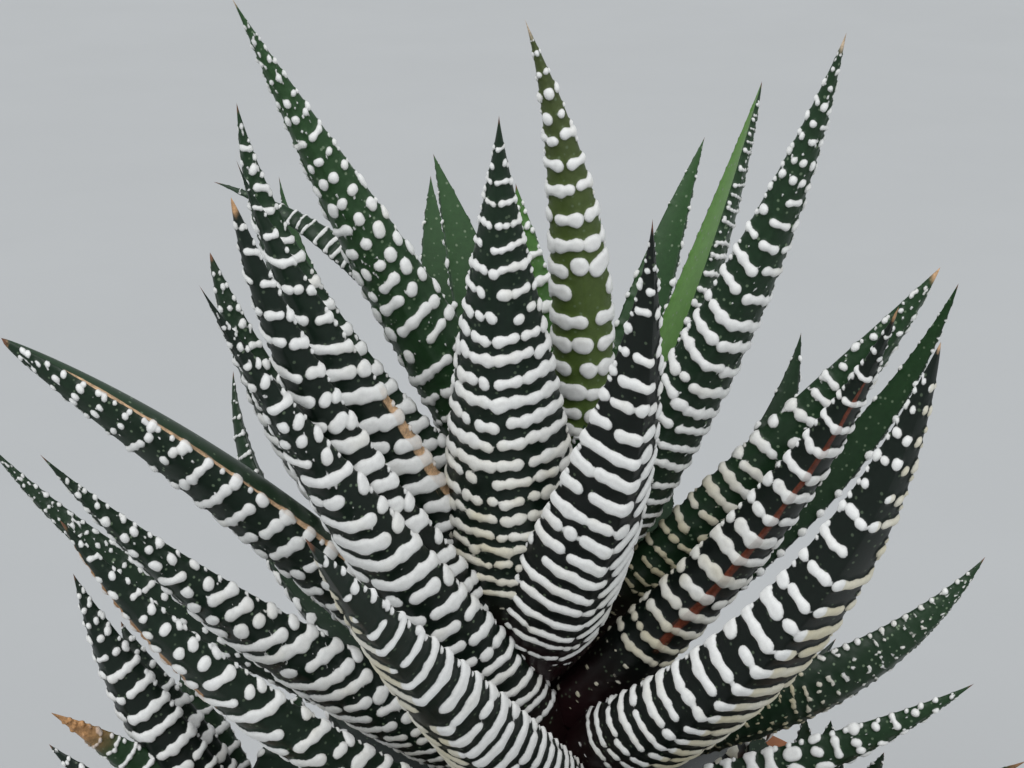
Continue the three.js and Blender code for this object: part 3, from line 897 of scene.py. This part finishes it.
def ranged(tree, value, low, high, to_low=0.0, to_high=1.0):
    inputs = {"Value": value, "From Min": low, "From Max": high, "To Min": to_low, "To Max": to_high}
    return put(tree, "ShaderNodeMapRange", inputs, interpolation_type="SMOOTHSTEP").outputs[0]


def reckon(tree, operation, first, second, third=0.0):
    inputs = {0: first, 1: second, 2: third}
    return put(tree, "ShaderNodeMath", inputs, operation=operation).outputs[0]


def grey(tree, level):
    return put(tree, "ShaderNodeCombineColor", {0: level, 1: level, 2: level}).outputs[0]


def noise(tree, place, scale, detail=3.0, roughness=0.55):
    inputs = {"Vector": place, "Scale": scale, "Detail": detail, "Roughness": roughness}
    return put(tree, "ShaderNodeTexNoise", inputs).outputs["Fac"]


def colour_ramp(tree, value, stops):
    made = put(tree, "ShaderNodeValToRGB", {"Fac": value})
    elements = made.color_ramp.elements
    while len(elements) < len(stops):
        elements.new(0.5)
    for element, (place, colour) in zip(elements, stops):
        element.position = place
        element.color = (*colour, 1)
    return made.outputs["Color"]


def object_place(tree):
    return put(tree, "ShaderNodeTexCoord").outputs["Object"]


def marked(tree, name, output="Fac"):
    return put(tree, "ShaderNodeAttribute", attribute_name=name).outputs[output]


def new_material(name, roughness, specular=0.5):
    material = bpy.data.materials.new(name)
    material.use_nodes = True
    tree = material.node_tree
    shader = tree.nodes["Principled BSDF"]
    shader.inputs["Roughness"].default_value = roughness
    shader.inputs["Specular IOR Level"].default_value = specular
    return material, tree, shader


def finish_surface(tree, shader, colour, height, strength, distance):
    """Feeds the shader its colour, and a bump of a strength and a depth in metres."""
    feed(tree, shader.inputs["Base Color"], colour)
    inputs = {"Height": height, "Strength": strength, "Distance": distance}
    feed(tree, shader.inputs["Normal"], put(tree, "ShaderNodeBump", inputs).outputs["Normal"])


print("node helpers ready")

# %% [markdown]
# ## Mottling, shared by all finishes
#
# Skin, bark, soil and clay all vary a little in colour from place to place. That effect is a
# node group, built once. It takes a colour and a place, and gives back the same colour,
# lighter here and darker there, with a height for the Bump node.

# %% The mottle group
mottle = bpy.data.node_groups.new("mottle", "ShaderNodeTree")
for name, kind in (("Colour", "NodeSocketColor"), ("Place", "NodeSocketVector"),
                   ("Scale", "NodeSocketFloat"), ("Darker", "NodeSocketFloat"),
                   ("Lighter", "NodeSocketFloat")):
    mottle.interface.new_socket(name, in_out="INPUT", socket_type=kind)
mottle.interface.new_socket("Colour", in_out="OUTPUT", socket_type="NodeSocketColor")
mottle.interface.new_socket("Height", in_out="OUTPUT", socket_type="NodeSocketFloat")
group_in = mottle.nodes.new("NodeGroupInput")
group_out = mottle.nodes.new("NodeGroupOutput")
coarse = noise(mottle, group_in.outputs["Place"], group_in.outputs["Scale"], 4.0, 0.6)
finer = reckon(mottle, "MULTIPLY", group_in.outputs["Scale"], 5.3)
fine = noise(mottle, group_in.outputs["Place"], finer, 3.0, 0.6)
both = reckon(mottle, "MULTIPLY_ADD", coarse, 0.65, reckon(mottle, "MULTIPLY", fine, 0.35))
lit = ranged(mottle, both, 0.35, 0.65, group_in.outputs["Darker"], group_in.outputs["Lighter"])
varied = blend_colours(mottle, 1.0, group_in.outputs["Colour"], grey(mottle, lit), "MULTIPLY")
feed(mottle, group_out.inputs["Colour"], varied)
feed(mottle, group_out.inputs["Height"], both)
print("mottle group with", len(mottle.nodes), "nodes")


def mottled(tree, colour, place, scale, darker=0.8, lighter=1.2):
    """Places the group, and returns its colour and its height."""
    made = tree.nodes.new("ShaderNodeGroup")
    made.node_tree = mottle
    for key, value in (("Colour", colour), ("Place", place), ("Scale", scale),
                       ("Darker", darker), ("Lighter", lighter)):
        feed(tree, made.inputs[key], value)
    return made.outputs["Colour"], made.outputs["Height"]


# %% [markdown]
# ## The leaf's skin
#
# The skin runs from nearly black to fresh green, with small pale flecks. The tubercles are
# chalky white, creamy where they are old, and darker at their rim, where the white is thin.
# Dry tips and scars go from straw to red-brown. Everything is driven by the marks on the mesh,
# and broken up by noise, so no edge is drawn with a ruler. Lengths are in millimetres here,
# because the place in the leaf is.

# %% Leaf skin
GREENS = ((0.0, (0.0022, 0.0036, 0.0032)), (0.2, (0.006, 0.016, 0.009)),
          (0.4, (0.016, 0.045, 0.017)), (0.62, (0.032, 0.09, 0.026)),
          (0.8, (0.065, 0.17, 0.03)), (1.0, (0.12, 0.27, 0.05)))
OLIVE = (0.085, 0.095, 0.028, 1)
MAROON = (0.022, 0.006, 0.008, 1)
FLECK = (0.20, 0.27, 0.17, 1)
FLECKS_PER_MM = 0.85
WHITE = (0.93, 0.935, 0.915, 1)
CREAM = (0.66, 0.60, 0.40, 1)
DRY_TONES = ((0.0, (0.62, 0.50, 0.36)), (0.35, (0.52, 0.28, 0.12)),
             (0.7, (0.16, 0.085, 0.045)), (1.0, (0.17, 0.035, 0.018)))


def skin_material(name):
    material, tree, shader = new_material(name, 0.4, 0.3)
    place = marked(tree, "grain", "Vector")
    squeeze = put(tree, "ShaderNodeMapping", {"Vector": place, "Scale": (1, 1, 0.12)}).outputs[0]
    ragged = reckon(tree, "MULTIPLY_ADD", noise(tree, place, 1.6, 2.0), 0.16, -0.08)
    edge = reckon(tree, "ADD", marked(tree, "bead"), ragged)
    white_share = ranged(tree, edge, 0.0, 0.1)

    patchy = reckon(tree, "MULTIPLY_ADD", noise(tree, squeeze, 0.5, 3.0), 0.1, -0.05)
    green = reckon(tree, "ADD", marked(tree, "green"), patchy)
    flesh = colour_ramp(tree, green, GREENS)
    flesh = blend_colours(tree, marked(tree, "olive"), flesh, OLIVE)
    flesh = blend_colours(tree, marked(tree, "blush"), flesh, MAROON)
    flesh, height = mottled(tree, flesh, place, 1.1, 0.9, 1.1)
    cells = put(tree, "ShaderNodeTexVoronoi", {"Vector": place, "Scale": FLECKS_PER_MM})
    fleck = ranged(tree, cells.outputs["Distance"], 0.1, 0.22, 1.0, 0.0)
    fleck = reckon(tree, "MULTIPLY", fleck, marked(tree, "fleck"))
    flesh = blend_colours(tree, fleck, flesh, FLECK)
    dried = colour_ramp(tree, marked(tree, "tone"), DRY_TONES)
    dried, _ = mottled(tree, dried, place, 0.8, 0.6, 1.35)
    torn = reckon(tree, "MULTIPLY_ADD", noise(tree, squeeze, 0.9, 4.0), 1.6, -0.8)
    scar = ranged(tree, reckon(tree, "ADD", marked(tree, "scar"), torn), 0.5, 0.75)
    flesh = blend_colours(tree, scar, flesh, dried)

    aged = reckon(tree, "MULTIPLY_ADD", noise(tree, place, 0.16, 2.0), 0.7, -0.35)
    aged = ranged(tree, reckon(tree, "ADD", marked(tree, "cream"), aged), 0.0, 0.7)
    chalk = blend_colours(tree, aged, WHITE, CREAM)
    chalk, _ = mottled(tree, chalk, place, 1.5, 0.93, 1.04)
    thin = ranged(tree, edge, 0.05, 0.3, 0.8, 1.0)
    chalk = blend_colours(tree, 1.0, chalk, grey(tree, thin), "MULTIPLY")
    stained = blend_colours(tree, reckon(tree, "MULTIPLY", scar, 0.25), chalk, dried)

    colour = blend_colours(tree, white_share, flesh, stained)
    colour = blend_colours(tree, marked(tree, "dry"), colour, dried)
    feed(tree, shader.inputs["Roughness"], ranged(tree, white_share, 0.0, 1.0, 0.38, 0.5))

    grain = reckon(tree, "MULTIPLY", height, 0.15)
    pores = reckon(tree, "MULTIPLY_ADD", noise(tree, place, 6.0, 2.0), 0.12, grain)
    relief = reckon(tree, "ADD", pores, ranged(tree, edge, -0.04, 0.22, 0.0, 1.0))
    finish_surface(tree, shader, colour, relief, 0.55, 0.00016)
    return material


leaf_skin = skin_material("leaf_skin")
print("leaf skin has", len(leaf_skin.node_tree.nodes), "nodes")

# %% [markdown]
# ## Grow the rosette
#
# Now every row of the plan becomes a leaf. Each one draws its random numbers from a seed of
# its own, so one leaf can be changed without changing the rest.

# %% All leaves of the main rosette
LEAF_SEED = 4100

for number, row in enumerate(LEAVES):
    look = {**DEFAULT_LOOK, **LOOKS.get(row[0], {})}
    leaf = make_leaf(leaf_plan(row), look, LEAF_SEED + number)
    settle(leaf, row[0] + "_banded", leaf_skin, row[0])
leaf_faces = sum(len(o.data.polygons) for o in bpy.data.objects if o.name.endswith("_banded"))
print("main rosette:", leaf_faces, "faces")

# %% [markdown]
# ## The offsets
#
# Three young plants push up beside the old one. Each is a short leaning stem with a few small
# leaves, and stands for one node, so its leaves are joined with its stem into one piece.

# %% Grow the offsets
OFFSET_TOP_RADIUS = 2.2
OFFSET_LEAF_FOOT = 1
OFFSET_LEAF_STEP = 0.4
OFFSET_SEED = 5200

OFFSETS = [
    ("offset_left", (-42, 4, 78), (-47, 4, 102), 3.5, [
        ((-69, 2, 148.5), 4, 0, 10.5, -112), ((-65.5, 12, 135), 4, 0, 11, -95),
        ((-58.5, 18, 124), 2, 0, 9, -75), ((-72, -6, 130.5), -4, 0, 9, -120),
        ((-76, 4, 118.5), 2, 0, 9, -150), ((-40, 20, 118), 1, 0, 9.5, 60),
        ((-66, -16, 118), 2, 0, 9, -130), ((-48, -14, 124), 2, 0, 8.5, -90)]),
    ("offset_right", (37, 4, 78), (39, 5, 98), 3.5, [
        ((38, 8, 121), 1, 0, 6, 100), ((51, 10, 113), 2, 0, 7, 20),
        ((31, 16, 115), 2, 0, 9, 130), ((56, 0, 111), 2, 0, 7.5, -10),
        ((45, 22, 111), 2, 0, 9, 65), ((50, -10, 110), 2, 0, 7, -50)]),
    ("offset_front", (-14, -38, 78), (-15, -40, 99), 3.5, [
        ((-12, -43, 127), 1, 0, 6, -60), ((-26, -50, 122), 2, 0, 7, -130),
        ((-2, -54, 118), 2, 0, 7, -55), ((-36, -42, 114), 2, 0, 7.5, -170),
        ((-17, -64, 112), 2, 0, 7.5, -95)]),
]
OFFSET_LOOK = dict(green=0.08, fat=0.85, pitch=0.86, bands_from=0.03, dots_from=0.75, cream=0.15)
OFFSET_LOOKS = {
    ("offset_left", 0): dict(detail="front"),
    ("offset_left", 1): dict(detail="front"),
    ("offset_left", 2): dict(green=0.25, fat=0.6),
    ("offset_left", 3): dict(detail="front", dry=9.0, dry_tone=0.4, green=0.35, fat=0.5),
}
STEM_MARKS = {"bead": -1, "green": 0.3, "fleck": 0, "olive": 0, "blush": 0.5,
              "cream": 0, "dry": 0, "scar": 0, "tone": 0.5}


def offset_stem(foot, crown, radius):
    """A tapered peg between two points, with the marks that the skin's material reads."""
    let_go()
    reach = Vector(crown) - Vector(foot)
    middle = (Vector(crown) + Vector(foot)) / 2
    bpy.ops.mesh.primitive_cone_add(
        vertices=20, radius1=radius * MM, radius2=OFFSET_TOP_RADIUS * MM, depth=reach.length * MM,
        location=middle * MM, rotation=reach.to_track_quat("Z", "Y").to_euler())
    stem = bpy.context.active_object
    bpy.ops.object.transform_apply(location=True, rotation=True, scale=True)
    bpy.ops.object.shade_smooth()
    for name, value in STEM_MARKS.items():
        mark(stem.data, name, [value] * len(stem.data.vertices))
    return stem


offset_skin = skin_material("offset_skin")
for number, (name, foot, crown, radius, rows) in enumerate(OFFSETS):
    whole = offset_stem(foot, crown, radius)
    parts = []
    for place, (tip, bow, sway, width, facing) in enumerate(rows):
        low = (crown[0], crown[1], crown[2] - OFFSET_LEAF_FOOT - OFFSET_LEAF_STEP * place)
        look = {**DEFAULT_LOOK, **OFFSET_LOOK, **OFFSET_LOOKS.get((name, place), {})}
        plan = leaf_plan((name, low, tip, bow, sway, width, facing))
        parts.append(make_leaf(plan, look, OFFSET_SEED + 20 * number + place))
    let_go()
    for part in parts:
        part.select_set(True)
    whole.select_set(True)
    bpy.context.view_layer.objects.active = whole
    bpy.ops.object.join()
    settle(whole, name + "_grown", offset_skin, name)
    print(name, "has", len(whole.data.polygons), "faces")

for blank, *_ in blanks.values():
    bpy.data.objects.remove(blank)

# %% [markdown]
# ## The main stem
#
# Almost hidden by its leaves, the stem is a brown spindle with the scars of old leaves as
# low rings. It is turned from a cylinder: its long edges are subdivided and the rings scaled
# one by one, as on a lathe.

# %% Model the stem
STEM_RADIUS = 6.5
STEM_TOP_RADIUS = 4.5
STEM_FOOT = 62
STEM_TOP = 153
BUD_TOP = 158
BUD_RADIUS = 0.4
STEM_RINGS = 60
SCAR_DEPTH = 0.35
SCAR_RATE = 0.9
SCAR_WANDER = 1.3
BARK = (0.02, 0.008, 0.007, 1)


def stem_radius_at(height, turn):
    middle = (STEM_FOOT + STEM_TOP) / 2
    plain = np.interp(height, [STEM_FOOT, middle, STEM_TOP, BUD_TOP],
                      [STEM_RADIUS, STEM_RADIUS, STEM_TOP_RADIUS, BUD_RADIUS])
    scar = abs(math.sin(height * SCAR_RATE + SCAR_WANDER * math.sin(turn * 3)))
    return plain - SCAR_DEPTH * scar


def bark_material():
    material, tree, shader = new_material("stem_bark", 0.85, 0.3)
    place = object_place(tree)
    colour, height = mottled(tree, BARK, place, 420.0, 0.55, 1.5)
    finish_surface(tree, shader, colour, height, 0.8, 0.0005)
    return material


stem = unit_tube(36)
pick_long_edges(stem)
bpy.ops.mesh.subdivide(number_cuts=STEM_RINGS - 1)
bpy.ops.object.mode_set(mode="OBJECT")
for point in stem.data.vertices:
    height = STEM_FOOT + (BUD_TOP - STEM_FOOT) * point.co.z
    turn = math.atan2(point.co.y, point.co.x)
    radius = stem_radius_at(height, turn) * math.hypot(point.co.x, point.co.y)
    point.co = Vector((radius * math.cos(turn), radius * math.sin(turn), height)) * MM
bpy.ops.object.shade_smooth()
settle(stem, "stem_scarred", bark_material(), "stem")
print("stem has", len(stem.data.polygons), "faces")

# %% [markdown]
# ## The pot
#
# A hand-finished terracotta pot: a tapered wall, a step under a broad flared rim, soft edges,
# and three drain holes. It is drawn up from a circle by extruding and scaling, ring by ring,
# and the holes are cut with a Boolean modifier. A Bevel modifier then softens its edges.

# %% Model the pot
POT_SIDES = 96
POT_HEIGHT = 95
FLOOR = 8
INSIDE_TOP_RADIUS = 53
INSIDE_FLOOR_RADIUS = 35
POT_PROFILE = [(40, 0), (53, 73), (56, 73), (58, POT_HEIGHT), (INSIDE_TOP_RADIUS, POT_HEIGHT),
               (INSIDE_FLOOR_RADIUS, FLOOR)]
DRAIN_HOLES = 3
DRAIN_RADIUS = 4.5
DRAIN_RING = 17
EDGE_ROUNDING = 1.1
SHARP_EDGE = math.radians(35)
CLAY = (0.50, 0.205, 0.10, 1)
CLAY_SPECKS = (0.30, 0.11, 0.055, 1)
# The colour the clay turns to towards the bottom of the pot.
CLAY_DARK_FOOT = (0.24, 0.105, 0.06, 1)
LIME = (0.66, 0.50, 0.40, 1)


def draw_up(profile, sides):
    """Extrudes a circle along a profile of radius and height, and closes it."""
    let_go()
    first_radius, first_height = profile[0]
    bpy.ops.mesh.primitive_circle_add(
        vertices=sides, radius=first_radius * MM, fill_type="NGON",
        location=(0, 0, first_height * MM))
    turned = bpy.context.active_object
    bpy.ops.object.mode_set(mode="EDIT")
    bpy.ops.mesh.select_all(action="SELECT")
    radius, height = first_radius, first_height
    for next_radius, next_height in profile[1:]:
        bpy.ops.mesh.extrude_region_move(
            TRANSFORM_OT_translate={"value": (0, 0, (next_height - height) * MM)})
        share = next_radius / radius
        bpy.ops.transform.resize(value=(share, share, 1), center_override=(0, 0, next_height * MM))
        radius, height = next_radius, next_height
    bpy.ops.mesh.select_all(action="SELECT")
    bpy.ops.mesh.normals_make_consistent(inside=False)
    bpy.ops.object.mode_set(mode="OBJECT")
    return turned


pot = draw_up(POT_PROFILE, POT_SIDES)
print("pot drawn up with", len(pot.data.polygons), "faces")

drills = []
for hole in range(DRAIN_HOLES):
    turn = hole * 2 * math.pi / DRAIN_HOLES
    x = DRAIN_RING * math.cos(turn) * MM
    y = DRAIN_RING * math.sin(turn) * MM
    let_go()
    bpy.ops.mesh.primitive_cylinder_add(
        vertices=32, radius=DRAIN_RADIUS * MM, depth=3 * FLOOR * MM, location=(x, y, FLOOR / 2 * MM))
    drill = bpy.context.active_object
    cut = pot.modifiers.new("drain", "BOOLEAN")
    cut.object = drill
    cut.operation = "DIFFERENCE"
    cut.solver = "EXACT"
    drills.append(drill)
soften = pot.modifiers.new("soften", "BEVEL")
soften.width = EDGE_ROUNDING * MM
soften.segments = 4
soften.limit_method = "ANGLE"
soften.angle_limit = SHARP_EDGE
apply_modifiers(pot)
for drill in drills:
    bpy.data.objects.remove(drill)
take(pot)
bpy.ops.object.shade_smooth_by_angle(angle=SHARP_EDGE)


def clay_material():
    material, tree, shader = new_material("terracotta", 0.86, 0.35)
    place = object_place(tree)
    colour, _ = mottled(tree, CLAY, place, 45.0, 0.82, 1.18)
    speckle = ranged(tree, noise(tree, place, 900.0, 2.0), 0.62, 0.72, 0.0, 0.5)
    colour = blend_colours(tree, speckle, colour, CLAY_SPECKS)
    lime_share = ranged(tree, noise(tree, place, 60.0, 5.0, 0.65), 0.52, 0.72, 0.0, 0.55)
    colour = blend_colours(tree, lime_share, colour, LIME)
    # The clay turns darker towards the bottom of the pot, over its lowest 30 mm.
    up = put(tree, "ShaderNodeSeparateXYZ", {"Vector": place}).outputs["Z"]
    darker_foot = reckon(tree, "MULTIPLY", ranged(tree, up, 0.0, 0.03, 1.0, 0.0), 0.35)
    colour = blend_colours(tree, darker_foot, colour, CLAY_DARK_FOOT)
    squash = put(tree, "ShaderNodeMapping", {"Vector": place, "Scale": (6, 6, 900)}).outputs[0]
    pitted = reckon(tree, "MULTIPLY", noise(tree, place, 700.0, 3.0), 0.5)
    relief = reckon(tree, "MULTIPLY_ADD", noise(tree, squash, 1.0, 2.0), 0.4, pitted)
    finish_surface(tree, shader, colour, relief, 0.5, 0.0004)
    return material


settle(pot, "terracotta_pot", clay_material(), "pot")
print("pot finished with", len(pot.data.polygons), "faces")

# %% [markdown]
# ## The soil
#
# A gritty mix fills the pot to a little under its rim. The bulk is one closed body with a
# lumpy top. On it lie several hundred grains of pumice, lava and bark. One grain is modelled
# from a cube, and every copy is squeezed and turned by its own seeded draw.

# %% Model the soil's bulk
SOIL_EDGE = 87
SOIL_TOP = 89.5
SOIL_GAP = 0.3
SOIL_SEED = 77
TOP_RINGS = np.linspace(49, 2, 24)
LUMP = 0.5
LUMP_RATES = (0.7, 0.6)
LUMP_JITTER = 0.25
LUMP_DROP = 0.4


def inner_radius_at(height):
    widening = (INSIDE_TOP_RADIUS - INSIDE_FLOOR_RADIUS) * (height - FLOOR)
    return INSIDE_FLOOR_RADIUS + widening / (POT_HEIGHT - FLOOR)


def soil_height(x, y):
    """Height of the soil's top at a place, without its lumps."""
    out = math.hypot(x, y)
    edge = inner_radius_at(SOIL_EDGE)
    return SOIL_TOP - (SOIL_TOP - SOIL_EDGE) * max(0, (out / edge - 0.5) / 0.5)


edge_radius = inner_radius_at(SOIL_EDGE) - SOIL_GAP
floor_radius = inner_radius_at(FLOOR) - SOIL_GAP
soil_profile = [(floor_radius, FLOOR + SOIL_GAP), (edge_radius, SOIL_EDGE)]
soil_profile += [(radius, soil_height(radius, 0)) for radius in TOP_RINGS]
soil = draw_up(soil_profile, POT_SIDES)
draws = np.random.default_rng(SOIL_SEED)
for point in soil.data.vertices:
    x, y, z = point.co / MM
    if z > SOIL_EDGE - 1 and math.hypot(x, y) < edge_radius - 0.5:
        lump = LUMP * math.sin(x * LUMP_RATES[0]) * math.cos(y * LUMP_RATES[1])
        lump += draws.normal(0, LUMP_JITTER)
        point.co.z += min(0.0, lump - LUMP_DROP) * MM
take(soil)
bpy.ops.object.shade_smooth()
print("soil bulk has", len(soil.data.polygons), "faces")


# %% Its material
HUMUS = ((0.3, (0.020, 0.013, 0.009)), (0.55, (0.06, 0.040, 0.026)), (0.75, (0.12, 0.085, 0.06)))


def soil_material():
    material, tree, shader = new_material("humus", 0.95, 0.25)
    place = object_place(tree)
    grains = colour_ramp(tree, noise(tree, place, 520.0, 4.0, 0.7), HUMUS)
    colour, height = mottled(tree, grains, place, 180.0, 0.6, 1.3)
    finish_surface(tree, shader, colour, height, 1.0, 0.0008)
    return material


settle(soil, "soil_bulk", soil_material(), "soil")
print("soil wears", soil.data.materials[0].name)

# %% Model one grain and strew its copies
GRAIN_COUNT = 620
GRAIN_SIZES = (1.0, 3.2)
GRAIN_DEPTHS = (0.6, 0.95)
GRAIN_HEIGHTS = (0.4, 0.75)
GRAIN_TILT = (-0.5, 0.5)
GRAIN_ROUGHNESS = 0.06
GRAIN_TRIES = 60
GRAIN_SPACING = 0.45
GRAIN_FROM_WALL = 2
GRAIN_LIFT = 0.05
GRAINS_DARKER = 1.6           # above 1, dark grains outnumber pale ones
STONE_TONES = ((0.0, (0.05, 0.032, 0.022)), (0.35, (0.14, 0.075, 0.045)),
               (0.6, (0.26, 0.20, 0.15)), (0.85, (0.45, 0.41, 0.35)), (1.0, (0.62, 0.60, 0.56)))

let_go()
bpy.ops.mesh.primitive_cube_add(size=1)
grain = bpy.context.active_object
bpy.ops.object.mode_set(mode="EDIT")
bpy.ops.mesh.subdivide(number_cuts=1)
bpy.ops.transform.tosphere(value=0.75)
bpy.ops.object.mode_set(mode="OBJECT")
bpy.ops.object.shade_smooth()


def strew_grain(draws, taken):
    """One squeezed and turned copy of the grain, lying on the soil."""
    for _ in range(GRAIN_TRIES):
        out = (edge_radius - GRAIN_FROM_WALL) * math.sqrt(draws.random())
        turn = draws.uniform(0, 2 * math.pi)
        x, y = out * math.cos(turn), out * math.sin(turn)
        size = draws.uniform(*GRAIN_SIZES)
        clear = [math.hypot(x - a, y - b) > (size + c) * GRAIN_SPACING for a, b, c in taken]
        if out > STEM_RADIUS + size and all(clear):
            break
    taken.append((x, y, size))
    stone = bpy.data.objects.new("grain", grain.data.copy())
    bpy.context.scene.collection.objects.link(stone)
    deep = size * draws.uniform(*GRAIN_DEPTHS)
    high = size * draws.uniform(*GRAIN_HEIGHTS)
    stone.scale = Vector((size, deep, high)) * MM
    tilts = draws.uniform(*GRAIN_TILT), draws.uniform(*GRAIN_TILT)
    stone.rotation_euler = (*tilts, draws.uniform(0, 6.3))
    stone.location = Vector((x, y, soil_height(x, y) + size * GRAIN_LIFT)) * MM
    jitter = draws.normal(0, GRAIN_ROUGHNESS, (len(stone.data.vertices), 3))
    for point, shift in zip(stone.data.vertices, jitter):
        point.co += Vector(shift)
    tone = draws.random() ** GRAINS_DARKER
    mark(stone.data, "tone", [tone] * len(stone.data.vertices))
    return stone


draws = np.random.default_rng(SOIL_SEED + 1)
taken = []
stones = [strew_grain(draws, taken) for _ in range(GRAIN_COUNT)]
let_go()
for stone in stones:
    stone.select_set(True)
bpy.context.view_layer.objects.active = stones[0]
bpy.ops.object.transform_apply(location=True, rotation=True, scale=True)
bpy.ops.object.join()
grit = bpy.context.active_object
bpy.data.objects.remove(grain)


def stone_material():
    material, tree, shader = new_material("grit_stones", 0.9, 0.3)
    place = object_place(tree)
    colour = colour_ramp(tree, marked(tree, "tone"), STONE_TONES)
    colour, height = mottled(tree, colour, place, 600.0, 0.7, 1.25)
    finish_surface(tree, shader, colour, height, 0.8, 0.0004)
    return material


settle(grit, "soil_grit", stone_material(), None)
print("grit has", len(grit.data.polygons), "faces")

# %% [markdown]
# ## Floor and light
#
# The photograph has a plain pale grey ground and soft light from above. A wide floor fills
# the whole view, because the camera looks down. A broad lamp hangs above the camera's left
# shoulder, a weaker one fills from the right, and the world adds the rest.

# %% Floor, lamps and world
FLOOR_COLOUR = (0.49, 0.505, 0.51, 1)
FLOOR_SIZE_M = 12
ROOM_COLOUR = (0.93, 0.96, 1.0, 1)
ROOM_STRENGTH = 0.5
LAMPS = [
    ("key", (-0.35, -0.5, 1.0), 50, 1.5),
    ("fill", (0.7, -0.5, 0.7), 60, 0.6),
]

let_go()
bpy.ops.mesh.primitive_plane_add(size=FLOOR_SIZE_M)
ground = bpy.context.active_object
ground.name = "floor"
floor_material, floor_tree, floor_shader = new_material("pale_floor", 0.9, 0.1)
floor_colour, _ = mottled(floor_tree, FLOOR_COLOUR, object_place(floor_tree), 2.0, 0.985, 1.015)
feed(floor_tree, floor_shader.inputs["Base Color"], floor_colour)
ground.data.materials.append(floor_material)
ground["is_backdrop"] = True

for name, place, spread_deg, power in LAMPS:
    lamp_data = bpy.data.lights.new(name, "SUN")
    lamp_data.angle = math.radians(spread_deg)
    lamp_data.energy = power
    lamp = bpy.data.objects.new(name, lamp_data)
    lamp.location = place
    lamp.rotation_euler = Vector(place).to_track_quat("Z", "Y").to_euler()
    bpy.context.scene.collection.objects.link(lamp)

world = bpy.data.worlds.new("soft_room")
world.use_nodes = True
background = world.node_tree.nodes["Background"]
background.inputs["Color"].default_value = ROOM_COLOUR
background.inputs["Strength"].default_value = ROOM_STRENGTH
bpy.context.scene.world = world
bpy.context.scene.view_settings.view_transform = "Standard"
print(len(LAMPS), "lamps")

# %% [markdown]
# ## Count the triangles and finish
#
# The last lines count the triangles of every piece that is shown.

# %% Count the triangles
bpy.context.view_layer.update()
triangles = sum(len(p.vertices) - 2 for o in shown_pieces() for p in o.data.polygons)
print("triangles in all:", triangles)
let_go()
